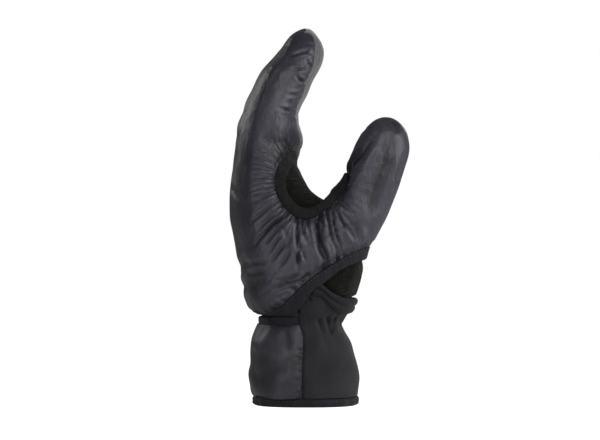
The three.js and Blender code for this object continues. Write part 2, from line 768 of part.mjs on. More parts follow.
const finishes = {
	shell: { color: 0x3a3a42, roughness: 0.42, metalness: 0 },
	palmShell: { color: 0x6d6e6c, roughness: 0.5, metalness: 0 },
	elastic: { color: 0x17181b, roughness: 0.9, metalness: 0 },
	fleece: { color: 0x1f201d, roughness: 0.95, metalness: 0 },
	softshell: { color: 0x2c2c30, roughness: 0.85, metalness: 0 },
};

const part = new THREE.Group();

function addPiece( name, finish, solid ) {

	const { vertProperties, triVerts } = solid.getMesh();
	const geometry = new THREE.BufferGeometry();
	geometry.setAttribute( 'position', new THREE.BufferAttribute( vertProperties, 3 ) );
	geometry.setIndex( new THREE.BufferAttribute( triVerts, 1 ) );
	geometry.computeVertexNormals();
	const mesh = new THREE.Mesh( geometry, new THREE.MeshStandardMaterial( finishes[ finish ] ) );
	mesh.name = name;
	part.add( mesh );

}

const shell = overmittShell();
addPiece( 'overmitt_shell', 'shell', shell.subtract( palmSideOf( fingerSeam ) ) );
addPiece( 'overmitt_finger_panel', 'palmShell', shell.intersect( palmSideOf( fingerSeam, seamGap ) ) );
addPiece( 'grip_opening_band', 'elastic', gripBand() );
addPiece( 'overmitt_edge_band', 'elastic', sleeveBand() );
addPiece( 'glove_hand', 'fleece', fleeceHand() );
addPiece( 'finger_stalls', 'fleece', fingerStalls() );
addPiece( 'thumb_stall', 'fleece', thumbStall() );
addPiece( 'wrist_sleeve', 'softshell', softshellWrist() );
addPiece( 'palm_welt', 'softshell', palmWelt() );
addPiece( 'cuff_pocket_panel', 'shell', pocketPanel() );
addPiece( 'pocket_band', 'elastic', pocketBand() );
addPiece( 'hem_band', 'elastic', hemBand() );

export default part;
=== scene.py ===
"""The looks of a left-hand winter glove with a padded overmitt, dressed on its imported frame.

Shapes are worked out in millimetres in the frame's own axes and put in metres at the end:
+Z runs from the hem to the fingertips, +X is the palm side and -Y the thumb side.
"""

import math
from functools import cache

import bpy
import numpy as np
from bpy.props import FloatProperty, FloatVectorProperty, PointerProperty
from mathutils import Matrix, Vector
from mathutils.kdtree import KDTree


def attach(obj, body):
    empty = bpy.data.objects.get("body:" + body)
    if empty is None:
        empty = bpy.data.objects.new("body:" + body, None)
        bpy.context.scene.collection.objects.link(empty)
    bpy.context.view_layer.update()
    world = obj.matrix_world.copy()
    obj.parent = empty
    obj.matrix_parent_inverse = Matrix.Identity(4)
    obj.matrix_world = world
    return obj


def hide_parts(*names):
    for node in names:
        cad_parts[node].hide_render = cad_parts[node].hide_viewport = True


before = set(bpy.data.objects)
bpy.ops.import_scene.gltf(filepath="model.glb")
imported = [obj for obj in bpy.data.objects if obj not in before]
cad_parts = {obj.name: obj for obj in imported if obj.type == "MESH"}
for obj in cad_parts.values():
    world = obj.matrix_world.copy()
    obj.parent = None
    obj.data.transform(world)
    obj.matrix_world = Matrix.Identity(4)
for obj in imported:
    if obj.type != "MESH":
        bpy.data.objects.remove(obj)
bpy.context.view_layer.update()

bl_info = {
    "name": "Glove with overmitt",
    "version": (1, 0, 0),
    "blender": (4, 5, 0),
    "location": "View3D > Sidebar > Glove",
    "description": "Builds a padded winter glove piece by piece around its frame",
    "category": "Add Mesh",
}

MM = 0.001  # metres in a millimetre
BODY = "root"

REACH = 150.0  # farther than any distance that matters, in millimetres

# Walls and seams, in millimetres
MITT_WALL = 4.5
GLOVE_WALL = 2.0
SEAM_GAP = 0.15  # half the gap between two pieces that are sewn together
SNAP = 0.12  # a corner this close to a cut counts as on it

# The overmitt's padding, in millimetres. A pair of values is where an effect starts and where it is full.
MITT_PUFF = 0.8  # how far the padding stands proud of its tables
PUFF_END_Z = (195, 240)
BACK_TRIM = 1.5  # less on the back of the hand
BACK_FACING = (0.4, 0.95)
THUMB_PUFF = 0.5
THUMB_PUFF_X = (50, 62)
THUMB_PUFF_Z = (172, 188)
SHELL_DROOP = 2.8  # how far the padding hangs over the edge band behind the hand
DROOP_REACH = 6.0
DROOP_BACK = (18, 32)
EDGE_SINK = 2.3  # how far the shell dips where it is sewn to a band
EDGE_DIP = 3.4  # and how wide that dip is
SEAM_SINK = 0.8  # how far it dips along the finger seam
SEAM_DIP = 1.9
SEAM_SWELL = 1.15  # how far it swells beside that seam
SEAM_SWELL_REACH = 6.5  # and how wide, on the shell's side
SEAM_END_Z = (254, 266)
FLUSH_SHARE = 0.8  # how much flatter the lower edge lies over the heel of the thumb
FLUSH_X = (30, 44)
FACING = (0.05, 0.4)  # how much the cloth faces a side before that side's folds press

# The elastic bands, in millimetres
BAND_SINK = 1.5  # they lie this far under the overmitt's plump surface
BAND_THICKNESS = 2.4
BAND_EDGE = 0.8  # how far their rounded edges fall away
BAND_SQUARENESS = 4  # exponent of their rounded profile
BAND_CREASE = 0.25  # their edges are shaded as if pressed this deep
RIB_SPACING = 2.1
RIB_DEPTH = 0.3

# The stitches, in millimetres
STITCH_PITCH = 3.0
STITCH_LENGTH = 2.1
STITCH_INSET = 1.9  # how far a row of stitches lies below its band's upper edge
STITCH_SINK = 0.05
THREAD_RADIUS = 0.34
THREAD_SIDES = 6
# A stitch along its length, in thread radii. Columns: width, rise
STITCH_PROFILE = ((0.35, -0.8), (0.9, 0.1), (1, 0.35), (0.9, 0.1), (0.35, -0.8))

# The welt between fleece and softshell, in millimetres
WELT_LIFT = 0.5
WELT_THICKNESS = 2.1
WELT_WIDTH = 10.6
WELT_GROOVE = 0.9  # how thick the welt is between its ribs
WELT_EDGE = 0.35  # and at its edges
WELT_FULLNESS = 0.7  # exponent of a rib's profile: less is fuller
WELT_PUCKERS = (3.1, 0.25)  # spacing and depth
WELT_DITCH = 2.2  # how far the fleece sinks behind the welt
WELT_DITCH_WIDTH = 1.5
WELT_START_X = 5.0

# The cuff and its pocket, in millimetres
CUFF_BOTTOM = 7.0
WAIST_Z = 61.0
SLEEVE_RING_COUNT = 70
SLEEVE_COVERED_SINK = 0.5  # how deep the softshell lies under the pocket
SLEEVE_COVERED = (-1, 2)
SEAM_DITCH = 0.5  # how far the softshell sinks beside the pocket's seam
SEAM_DITCH_WIDTH = 1.1
SLEEVE_EDGE_SINK = 0.9  # and under the welt
SLEEVE_EDGE_WIDTH = 2.4
POCKET_RING_COUNT = 45
POCKET_TOP = 58.2
POCKET_LIFT = 0.5
POCKET_CLOTH = 1.2  # how far its cloth stands off the cuff at its seams, over that lift
POCKET_PUFF = 0.9
POCKET_PUFF_REACH = 5.0
BINDING_BOTTOM = 58.5
BINDING_TOP = 64.3
BINDING_CLOTH = 2.0
BINDING_EDGE = 0.5  # how far its rounded edges fall away

# Folds and puckers
FOLD_SHARPNESS = 1.35  # 2 is a round valley, 1 a crease
FOLD_RIDGE = 0.3  # the ridge beside a fold, as a share of its depth
FOLD_RIDGE_AWAY = 2.0  # and its distance in widths
FOLD_START = 0.25  # a fold runs from this part of a half wave to its end
PUCKER_SHIFT = 0.32  # how far a pucker may lie from its place, in spacings
PUCKER_LEAN = 0.22
PUCKER_WIDTH = (0.24, 0.42)  # in spacings
PUCKER_RUN = (0.3, 1.25)  # in reaches
PUCKER_DEPTH = (0.3, 1.3)
PUCKER_WIDENING = 0.7
PUCKER_FADE = 0.8
PUCKER_RIDGE = 0.3
PUCKER_RIDGE_AWAY = 1.9
SWELL_WAVES = 14
SWELL_LENGTHS = (0.6, 1.6)

# Gathers: spacing, depth and reach beside each elastic or seam
GRIP_GATHERS = (2.7, 0.8, 19.0)
EDGE_GATHERS = (4.6, 0.8, 10.0)
SEAM_GATHERS = (2.7, 0.3, 5.0)
WAIST_GATHERS = (5.2, 0.8, 9.0)
WAIST_CALM = 0.6  # how much of them goes where the camera sees the cuff's own folds
POCKET_GATHERS = (2.6, 1.3, 5.0)
SEAM_LINE_LENGTH = 1200.0  # a seam's gathers are laid out on a line of this length
SEAM_SIDE_SHIFT = 400.0  # and those of its near and far side lie this far from their height on it
POCKET_SIDE_SHIFT = 300.0
STREAK_START = {True: 0.0, False: 11.0}  # the fine streaks beside the grip opening and the lower edge

# Uneven swells: length and depth
START_SWELL = (17, 0.35)
MITT_SWELL = (26, 0.3)
BAND_SWELL = (9, 0.22)
HEM_SWELL = (9, 0.45)
FLEECE_SWELL = (13, 0.3)
SLEEVE_SWELL = (22, 0.35)
POCKET_SWELL = (21, 0.55)
BINDING_SWELL = (7, 0.2)
BINDING_SAG = (16, 0.7)
WELT_SWELL = (12, 0.15)

# The grip opening is a window across the palm. Its far end is rounded in depth.
GRIP_MIDDLE = (3.0, 159.5)
GRIP_BAND_SHARE = 0.32
GRIP_BAND_NEAR = (0.45, 1.25)  # the shares between which the band is cut out
GRIP_STRAIGHT_TO = 8.0
GRIP_ROUNDING = 24.0

# Outlines and mesh steps
ROUNDNESS = 2.6  # exponent of the level ovals: 2 is an ellipse, more is squarer
LOBE_BLEND = 9.0
HALVINGS = 26  # steps of the search for an outline
LEAST_RADIUS = 0.4
LINE_STEP = 0.01
CLOTH_STEP = 2.05  # side of a square in the simulated cloth, which is halved afterwards
GLOVE_STEP = 2.4
MITT_RING_STEP = 3.0
MITT_TIP_HEIGHTS = (260, 262.5, 265, 267, 269, 270.6, 271.8, 272.6)  # rings crowd towards the tip
MITT_THUMB_GRID = (48, 48)  # rings, and points in each
MITT_EVENED = 2  # how often the joined skin is evened out
JOINT_EVENED = 10  # and how often more where thumb and hand meet
GLOVE_HEIGHTS = (60, 186, 2.5)  # first, last and step of the fleece hand's rings
GLOVE_THUMB_GRID = (40, 36)
GLOVE_FINGER_GRID = (40, 28)
GLOVE_EVENED = 4
SKIN_POINTS = 120  # points in a ring that is remeshed
NORMAL_STEP = 0.6  # how far apart heights are compared to find a surface's normals
BAND_ROWS = 11
BINDING_ROWS = 9
WELT_ROWS = 15
HEM_LINE_ROWS = 12
RING_STEP = 1.2
BANDS_TOP_Z = 132.0
MITT_RINGS_BOTTOM = 58.0
GLOVE_RING_POINTS = 220
MITT_RING_POINTS = 240
SHARP_ANGLE = 50.0  # degrees

# The cloth simulation
CLOTH_UNIT = 10.0  # millimetres in a unit of the simulation
CLOTH_FRAMES = 20
CLOTH_QUALITY = 6
CLOTH_GROWTH = 0.09  # how much longer the cloth grows where it is gathered
CALM_GROWTH = 0.22  # the share of that growth far from the elastics
GROWTH_REACH = 16.0
CLOTH_BENDING = 0.35
CLOTH_AIR = 2.5
HELD_AT_EDGE = 0.8  # the cloth is held this close to the elastics
HELD_AT_SEAM = 1.6
FORM_ROUNDS = 30  # how often a move is evened out to find its main form, which is taken off
CALM_FINGERS = 0.75  # the share of the crumples that is taken off the full finger pocket
CALM_FROM_Z = (196, 214)
CLOTH_CAP = 2.6  # the farthest that the cloth may move, in millimetres
THUMB_JOINT = (10.0, -28.0, 120.0)
THUMB_JOINT_REACH = (18, 34)

# The camera looks level along +Y. A point is seen as if it lay in the plane y = 0.
CAMERA_DISTANCE = 2200.0
CAMERA_X = -4.35
CAMERA_Z = 133.8
FOLD_TABLE_DROP = 2.5  # the heights in the fold tables count from this far under the frame's

# The studio
SENSOR_WIDTH = 36.0
PHOTO_WIDTH = 435.0  # millimetres across the photograph at the glove
WORLD_STRENGTH = 0.07
FLOOR_RADIUS = 6.0  # metres
FLOOR_DIM_TO = 0.1  # the floor brightens from this distance
FLOOR_WHITE_FROM = 0.42
FLOOR_GLOW = 0.45
FLOOR_RINGS = 13
FLOOR_POINTS = 48
FLOOR_CROWDING = 1.5  # its rings crowd towards the middle
LIGHT_AIM = (0.0, 0.0, 0.13)
# The soft lights, in metres. Columns: name, place, size
LIGHTS = (
    ("key", (1.3, -0.45, 0.55), (1.5, 1.5)),
    ("rim", (-0.66, 0.7, 0.5), (0.5, 0.4)),
    ("back", (0.5, 1.6, 0.7), (0.8, 0.6)),
    ("ceiling", (-0.8, -0.6, 1.3), (0.5, 0.5)),
    ("fill", (0.3, -1.45, 0.7), (0.7, 0.7)),
    ("bounce", (-0.35, -0.6, -0.04), (0.6, 0.25)),
)

# The cloths' finishes
CLOUD_TONES = (0.78, 1.22)  # the dye's darkest and lightest clouds, as shares of the colour
TONES = {"raised_ridges": 2.1, "hollow_shade": 0.25, "lint": 3.2}  # lighter raised ridges, painted shade in the folds' hollows, and specks of lint
ROUGHNESS_SPREAD = 0.06
ROUGHNESS_CLOUDS = (0.3, 0.7)  # the part of the clouds' noise over which the roughness changes
HOLLOW_DEPTHS = (0.15, 1.0)  # where the painted shade in hollows starts and where it is darkest, in fold reaches
RIDGE_DEPTHS = (-0.05, -0.35)  # and the same of the raised ridges that are made lighter
SHEEN_ROUGHNESS = 0.5
BUMP_DISTANCE = 0.001  # metres
CREASE_SHARPNESS = 0.7
CRINKLE_BEND = 0.012
STREAK_RUN = (0.06, 0.06, 0.06)  # how the streaks' noise changes on the way out from their edge

# Level ovals of the overmitt's hand. Columns: z, back, palm, near, far
MITT_HAND = (
    (56, -35, 28, -39, 40),
    (64, -36.5, 31, -41, 42),
    (67, -39.8, 32.5, -43.5, 45),
    (70, -41.8, 34, -45.4, 47.5),
    (75, -44, 35.5, -47.2, 49.6),
    (83, -46.2, 36, -48.8, 51.8),
    (93, -47.2, 31, -50, 53.5),
    (110, -50.7, 22, -50.8, 55),
    (127, -53.6, 15, -51, 55.5),
    (145, -55.9, 10, -50.5, 55.5),
    (162, -54.6, -0.5, -50, 55),
    (177, -52.3, -5.6, -49.5, 54.5),
    (193.5, -50.8, -3.4, -49, 54),
    (206, -48.7, -7.2, -48.4, 52.6),
    (215, -46.4, -5, -47.6, 51),
    (223.5, -42.9, -0.2, -46.5, 49),
    (233, -38.2, 4, -45, 46.5),
    (241, -33.5, 8.6, -43, 43.5),
    (250, -25.3, 12.4, -38.5, 37),
    (257, -19.8, 12.8, -33.5, 30),
    (263, -15.9, 10.8, -28, 24),
    (268, -10.5, 7.6, -20.5, 16),
    (271.4, -4, 4.5, -11, 7),
    (273, -1.9, 2.4, -4.5, 2),
)

# Level ovals of the overmitt round the thumb's root. Columns: z, back, palm, near, far
MITT_ROOT = (
    (56, -25, 28, -37, 20),
    (70, -25, 37, -43, 14),
    (80, -25, 41, -47, 8),
    (93, -25, 43.8, -49.5, 3),
    (103, -25, 44.2, -50.2, 1),
    (110, -25, 44.6, -50.8, -1),
    (119, -25, 47.6, -51, -3),
    (127, -24, 50, -51, -5),
    (136, -20, 47, -50.5, -6),
    (145, -18, 40, -50, -9),
    (153, -18, 30, -49, -12),
    (160, -18, 18, -48, -14),
    (168, -18, 0, -46.5, -18),
)

# The overmitt's thumb. Columns: x, y, z, width seen from the side, width through it
MITT_THUMB = (
    (6, -27, 94, 38, 36),
    (16.7, -28, 112, 44, 42),
    (27.4, -28.5, 127.6, 44.5, 44),
    (36.2, -29, 143.4, 43.8, 44),
    (43, -29.5, 157, 41, 43),
    (48.8, -30, 171, 40, 42),
    (53.4, -30, 182.8, 39, 40),
    (55.6, -30, 192.7, 34.2, 35),
    (55.4, -30, 199.6, 26.6, 27),
    (55, -30, 204.3, 15.4, 16),
    (54.8, -30, 206.5, 5, 5),
)

# Middles of the level outlines. Columns: z, x, y
MITT_MIDDLE = (
    (56, -5, -8),
    (108, -8, -14),
    (147, -12, -18),
    (168, -28, 2),
    (223.5, -21.7, 1),
    (257, -4, -1.5),
    (273, 0.2, -1.2),
)
GLOVE_MIDDLE = (
    (0, 0, 0),
    (58, -4, -5),
    (108, -8, -14),
    (147, -10, -20),
    (170, -26, -8),
    (186, -29, -6),
)

# Level ovals of the glove from the cuff to the fingers' roots. Columns: z, back, palm, near, far
GLOVE_HAND = (
    (7, -35.6, 37.5, -44.5, 44.5),
    (11, -37.7, 37.9, -45, 45),
    (20, -38.8, 38.6, -45.3, 45.3),
    (28, -38.5, 37.5, -44.8, 44.8),
    (37, -37.9, 35, -43.5, 43.5),
    (45.5, -37.5, 32.2, -41.5, 41.5),
    (54, -34.1, 27.6, -38, 38),
    (58.5, -32, 25.2, -36, 36),
    (62, -31.8, 27, -35.8, 36.2),
    (69, -33.2, 30.4, -37.4, 38.6),
    (78, -36, 32, -39.5, 42),
    (88, -38, 28.5, -41, 44),
    (98, -40, 22, -42, 45.5),
    (110, -43, 13, -42.5, 46),
    (127, -46, 7, -43, 46.3),
    (145, -47.8, 2.5, -42.5, 46.6),
    (155, -47.2, -3, -41, 47),
    (163, -46, -8, -40, 46),
    (170, -44, -12, -38, 44),
    (178, -42, -15, -36, 42),
    (186, -40, -19, -33, 39),
)

# Level ovals of the glove round the roots of thumb and index finger. Columns: z, back, palm, near, far
GLOVE_ROOT = (
    (60, -20, 14, -27, 12),
    (69, -20, 29, -37, 6),
    (78, -20, 34.6, -40.5, 0),
    (88, -20, 38.6, -42, -3),
    (98, -20, 40.8, -42.8, -6),
    (110, -18, 39.4, -43, -10),
    (127, -16, 38, -43, -13),
    (139, -16, 30, -42.5, -15),
    (147, -18, 14, -41.5, -16),
    (152, -20, 6.6, -41.2, -13),
    (157, -24, 1.8, -40, -9),
    (163, -28, -1.8, -38.6, -6),
    (170, -32, -5.2, -36, -4),
    (175, -34, -7.6, -35, -4),
    (180, -36, -11, -34, -5),
    (186, -38, -17, -32, -9),
)

# The fingers inside the overmitt bend along one line. Columns: x, z
FINGER_LINE = (
    (-26, 145.5),
    (-28.5, 165.5),
    (-28.8, 183.5),
    (-27, 201.5),
    (-22.8, 217.5),
    (-16.5, 231.5),
    (-9, 244.5),
    (-2.5, 255.5),
)
# Index, middle, ring and little finger. Columns: y, share of the line's length
FINGERS = ((-31.5, 0.88), (-10.5, 1.0), (10.5, 0.92), (31.5, 0.7))
FINGER_ROOT_DIAMETER = 20.2
FINGER_TIP_DIAMETER = 16.6
FINGER_GATHERING = 0.18  # how far the fingers close up towards their tips
FINGER_TIP_RISES = (0.5, 0.8, 0.96)  # rings on the round tip, in radii
FINGER_STEPS = 9
GLOVE_THUMB_INSET = 7.6  # the glove's thumb lies this far inside the overmitt's
GLOVE_THUMB_SHARE = 0.93  # and ends at this share of its line

# Level outlines of the hem band. Columns: z, back, palm, near, far
HEM = (
    (0, -37.4, 36.8, -44.6, 44.6),
    (1.6, -38.4, 37.8, -45.6, 45.6),
    (5, -38.6, 38.1, -45.8, 45.8),
    (6.7, -38, 37.6, -45, 45),
)
HEM_MIDDLE = ((0, 0, 0), (10, 0, 0))
HEM_WALL = 4.2
HEM_TOP = 6.7
HEM_LIP = 3.0  # how far the hem's inner layer goes up inside the softshell
HEM_LIP_GAP = 0.7

# The pocket's seam with the softshell. Columns: z, x
POCKET_SEAM = (
    (0, -2.8), (20, -3), (36, -2.5), (48, -2.2), (53, -2.8), (57, -4.4), (60, -5.4), (70, -5.4),
)

# Side-view lines, used from the near to the far side. Columns: x, z
GRIP_OUTLINE = (
    (-22.4, 158), (-17.4, 145.4), (-8, 136.4), (1, 134.3), (10.5, 138.8), (20, 146.6),
    (27, 157), (26.5, 168), (10, 181.5), (-8.5, 182.2), (-16.5, 176.4), (-21.2, 168.4),
)
SLEEVE_EDGE = (
    (-80, 68.3), (-28, 68.6), (-22, 69.8), (-18, 72), (-14, 76.2), (-9.6, 80.6), (-4, 86.2),
    (-0.1, 89.8), (9.7, 96.9), (19.5, 103.2), (29.3, 108.5), (39, 113), (80, 129),
)
SLEEVE_HEM = (
    (-80, 64.4), (-12, 64.4), (-9, 65.4), (-6.8, 67.8), (-3, 72.4), (1.2, 78), (3.4, 81.4),
    (6, 84.4), (12, 88.2), (17, 92), (24.4, 97.8), (34, 102.2), (80, 118),
)
PALM_SEAM = (
    (-80, 86), (5, 86), (11, 83.6), (17, 78.4), (22, 75), (27, 73), (34, 72.6), (80, 72.6),
)
# The seam round the palm panel of the finger pocket, as the side view shows it. Columns: z, x
FINGER_SEAM = (
    (174, 4), (196, 4), (206, -2), (212.3, -5.2), (222, -2), (234.5, 1.8), (243, 4.6),
    (257.6, 6.2), (266, 6.8), (290, 7.4),
)
# Where that seam runs on the palm's face instead. Columns: z, half the panel's breadth
PANEL_BREADTH = (
    (174, 17), (184, 21), (196, 24), (208, 25.5), (220, 28), (235, 32), (250, 30), (290, 12),
)
PANEL_MIDDLE = 2.0
PANEL_CORNER = 6.0  # how softly the side seam turns into the one on the palm
PANEL_BOTTOM = 174.0
SEAM_OVERRUN = 4.0  # the finger seam starts this far below the panel
PANEL_SIDE = 22.0  # the thumb lies beyond this x

# Folds as the camera sees them: width, depth, then the points that each runs through
MITT_FOLDS = (
    (1.2, 2.6, (-6.2, 138), (-6.6, 126), (-6, 118.6), (-5.2, 112), (-6.6, 102)),
    (1.1, 1.6, (-3.4, 137), (-2.8, 129), (-0.6, 122.4), (1.6, 118)),
    (1.3, 1.8, (-6.4, 112), (-5.6, 104), (-5.2, 97)),
    (1.2, 1.5, (-15.4, 119.6), (-21.6, 111), (-27.6, 103)),
    (1.1, 1.1, (-12, 113), (-16, 106), (-20, 101)),
    (3.2, -1.1, (-9.6, 121), (-10.4, 109), (-10.6, 99)),
    (1.2, 1.7, (12.4, 117), (15.6, 107), (18.4, 97)),
    (1.1, 1.5, (21.4, 117), (23, 108), (24.6, 100)),
    (1.1, 1.7, (-4.6, 118), (-0.6, 108.8), (1.6, 102)),
    (0.9, 1.0, (0.6, 136), (1.8, 130), (2.4, 124)),
    (2.0, 3.8, (8.4, 140), (8.4, 132.4), (9.6, 123.4), (10.6, 116), (13.2, 109.6), (14.4, 100), (15.4, 94)),
    (1.0, 1.5, (11.6, 140), (11.8, 128), (14.2, 122)),
    (1.1, 2.3, (14.8, 141), (17, 132.4), (17.8, 127), (19.6, 120.6), (23, 114)),
    (1.1, 2.2, (19, 142), (20.2, 132.4), (21.6, 126), (24.4, 117.8), (25.4, 109)),
    (1.1, 1.9, (21, 146), (24.4, 139), (27.2, 132.4), (28, 125)),
    (1.2, 1.7, (22.4, 149.4), (29, 145.4), (36, 140)),
    (1.3, 1.4, (28, 133), (33, 126), (36, 121)),
    (1.0, 1.2, (25.6, 142), (31, 136), (34, 131)),
    (1.2, 1.9, (-13.6, 140.4), (-24.4, 132.6), (-34, 123), (-39, 115)),
    (1.1, 1.5, (-12, 137), (-21, 129), (-29.6, 119)),
    (1.1, 1.5, (-16, 144), (-26, 137.5), (-34, 131)),
    (1.2, 1.6, (-20, 150), (-30, 143), (-41, 134)),
    (1.1, 0.9, (-22, 155), (-30, 152), (-38, 148)),
    (1.2, 1.3, (-17, 131.4), (-13.4, 124.4)),
    (1.1, 1.2, (-20, 124), (-23, 118.6), (-26, 113)),
    (1.2, 0.8, (-13, 121), (-14, 115)),
    (1.1, 0.8, (-23, 161.5), (-32, 161.5)),
    (1.1, 0.8, (-23, 167), (-31, 167.6)),
    (1.1, 0.8, (-22, 172), (-30, 174)),
    (1.1, 0.8, (-19, 178), (-27, 182)),
    (1.5, 2.5, (1.4, 96.4), (-5, 91.4), (-14.4, 90.6), (-24, 87), (-33, 81)),
    (1.4, 2.2, (-4, 88.4), (-12.4, 87), (-22.4, 84.2), (-30, 79)),
    (1.4, 2.0, (-8, 85.6), (-17, 82.4), (-28, 78)),
    (1.3, 1.7, (-5.6, 96.4), (-12.4, 93.8), (-23, 91.6)),
    (6.0, 1.9, (-33, 98), (-37, 88), (-36, 78)),
    (5.5, -1.9, (-2, 86), (-14, 83), (-26, 80)),
    (1.6, 1.2, (-30, 105), (-37, 105.4), (-44, 104)),
    (1.5, 1.0, (-33, 99), (-39, 97), (-44, 98)),
    (12.0, 2.8, (-6, 195), (-20, 192), (-34, 191)),
    (1.2, 1.2, (-12, 185), (-16, 190), (-21, 197)),
    (1.1, 0.9, (-10, 186), (-12.4, 191), (-14.4, 196)),
    (1.0, 1.3, (-7, 210), (-10, 213.6), (-12.6, 215.4)),
    (1.0, 1.6, (-9.6, 216), (-15, 216.4), (-22, 217.8)),
    (1.3, 0.5, (-6, 222.6), (-11, 221.6), (-17, 221)),
    (1.2, 0.6, (-4, 227.2), (-10, 227), (-16, 227.8)),
    (1.3, 0.3, (-2, 232.4), (-9, 231.4), (-15, 231.6)),
    (1.0, 1.6, (2.4, 235.6), (-1, 236.8), (-4, 237.6), (-8, 241.4)),
    (1.0, 0.9, (-1.6, 245.2), (-6, 245.6), (-10.4, 246)),
    (1.0, 1.5, (4, 247.4), (1.6, 250), (-1, 253)),
    (1.1, 1.4, (0.6, 259), (-6.4, 257), (-13, 254)),
    (1.0, 1.0, (4.2, 256.4), (1.6, 257.4), (-1.6, 258.8)),
    (1.0, 0.6, (4, 263), (-2, 264)),
    (2.6, 2.4, (26, 168), (31, 175), (39.6, 182.4), (48, 193), (52, 199)),
    (0.9, 1.0, (42, 186.4), (45, 191), (48, 193)),
    (1.0, 1.2, (28.6, 164), (32, 166.4), (35, 164)),
    (1.2, 1.0, (29, 158), (33, 160.6), (38, 160)),
    (5.6, 3.0, (46, 148), (49, 158), (55, 172), (60, 188), (63, 200)),
    (4.6, -1.5, (34, 160), (42, 174), (49, 188), (54, 202)),
    (2.2, 1.3, (37, 124), (35, 131), (36, 136)),
    (2.6, -1.0, (41, 122), (44, 130)),
    (1.2, 0.7, (62.6, 158), (66, 170), (69, 181)),
    (5.5, 2.6, (58, 214), (64, 207), (68, 198)),
    (1.8, 0.9, (65, 166), (69, 178), (71, 188)),
    (2.4, 0.9, (40, 116), (46, 128), (50, 138)),
)
CUFF_FOLDS = (
    (1.4, 1.4, (9, 64), (11, 59), (13, 54)),
    (1.4, 2.0, (15.6, 65), (17.4, 59), (19, 52)),
    (1.4, 1.9, (21.6, 65), (20.6, 60), (18.6, 54)),
    (1.3, 1.8, (25, 64), (24.6, 60), (26, 56)),
    (2.2, 0.6, (12, 56), (15, 46), (17, 36)),
    (3.0, 1.2, (-13.6, 58), (-13.4, 48), (-12.6, 37)),
    (2.0, 0.8, (-20, 58.6), (-21, 54), (-23.6, 49)),
    (2.0, 0.4, (-28, 58), (-32, 50), (-34.4, 40)),
    (2.4, 0.8, (-36, 42), (-36.6, 30), (-35, 16)),
    (1.0, 2.0, (-6, 71), (-4.6, 67)),
    (0.9, 1.7, (2.2, 79.6), (4, 77)),
)
HEEL_FOLDS = (
    (2.2, 0.8, (12, 98), (20, 92), (30, 88)),
    (2.0, 0.6, (24, 100), (32, 95), (37, 93)),
    (1.8, 0.5, (18, 84), (26, 81), (34, 80)),
)
# Folds of the sides that the camera doesn't see, in y and z on the back and in x and z on the far side
BACK_FOLDS = (
    (4.4, 0.7, (-30, 209), (0, 214), (30, 210)),
    (4.0, 0.6, (-26, 192), (2, 197), (24, 192)),
    (3.2, 1.2, (-34, 104), (-4, 99), (30, 102)),
    (3.0, 1.2, (-20, 87), (10, 84), (36, 89)),
    (2.4, 0.9, (-36, 150), (-22, 156), (-6, 155)),
    (2.4, 0.9, (8, 128), (24, 124), (38, 128)),
)
FAR_FOLDS = (
    (3.0, 1.2, (-40, 104), (-20, 99), (4, 102)),
    (3.0, 1.2, (-34, 88), (-14, 85), (6, 92)),
    (3.0, 1.3, (-40, 210), (-24, 213), (-8, 209)),
    (2.6, 1.0, (-42, 150), (-30, 142), (-14, 140)),
    (2.6, 1.0, (-34, 240), (-18, 236), (-4, 240)),
)


# Tables


def smooth_table(rows):
    """A function of a table's first column that gives the others, smoothly between the rows."""
    table = np.array(rows, float)
    keys, values = table[:, 0], table[:, 1:]
    slopes = np.empty_like(values)
    slopes[1:-1] = (values[2:] - values[:-2]) / (keys[2:] - keys[:-2])[:, None]
    slopes[0] = (values[1] - values[0]) / (keys[1] - keys[0])
    slopes[-1] = (values[-1] - values[-2]) / (keys[-1] - keys[-2])

    def found(at):
        at = np.clip(np.asarray(at, float), keys[0], keys[-1])
        i = np.clip(np.searchsorted(keys, at, "right") - 1, 0, len(keys) - 2)
        step = (keys[i + 1] - keys[i])[..., None]
        u = (at - keys[i])[..., None] / step
        start = (1 + 2 * u) * (1 - u) ** 2 * values[i] + u * (1 - u) ** 2 * step * slopes[i]
        end = u * u * (3 - 2 * u) * values[i + 1] - u * u * (1 - u) * step * slopes[i + 1]
        return start + end

    return found


def smooth_step(value, low, high):
    """Nought up to the low value, 1 from the high value on, and smooth between them."""
    share = np.clip((value - low) / (high - low), 0, 1)
    return share * share * (3 - 2 * share)


def bell(distance, width):
    """1 at no distance, dying away over a width."""
    return np.exp(-((distance / width) ** 2))


# Level outlines


class Lobe:
    """A table of level ovals, with how far it reaches up and down."""

    def __init__(self, rows):
        self.limits = smooth_table(rows)
        self.bottom = rows[0][0]
        self.top = rows[-1][0]

    def gap(self, x, y, z):
        """About how far points lie outside the ovals, negative inside them."""
        back, palm, near, far = np.moveaxis(self.limits(z), -1, 0)
        half_x = (palm - back) / 2
        half_y = (far - near) / 2
        u = np.abs(x - (palm + back) / 2) / half_x
        v = np.abs(y - (far + near) / 2) / half_y
        size = (u**ROUNDNESS + v**ROUNDNESS) ** (1 / ROUNDNESS)
        gap = (size - 1) * np.minimum(half_x, half_y)
        return np.where((z >= self.bottom) & (z <= self.top), gap, REACH)


def soft_minimum(a, b, softness):
    """The lower of two values, rounded where they are close."""
    overlap = np.maximum(softness - np.abs(a - b), 0) / softness
    return np.minimum(a, b) - overlap * overlap * softness / 4


def level_gap(lobes, x, y, z):
    """About how far points lie outside the joined lobes."""
    gap = lobes[0].gap(x, y, z)
    for lobe in lobes[1:]:
        gap = soft_minimum(gap, lobe.gap(x, y, z), LOBE_BLEND)
    return gap


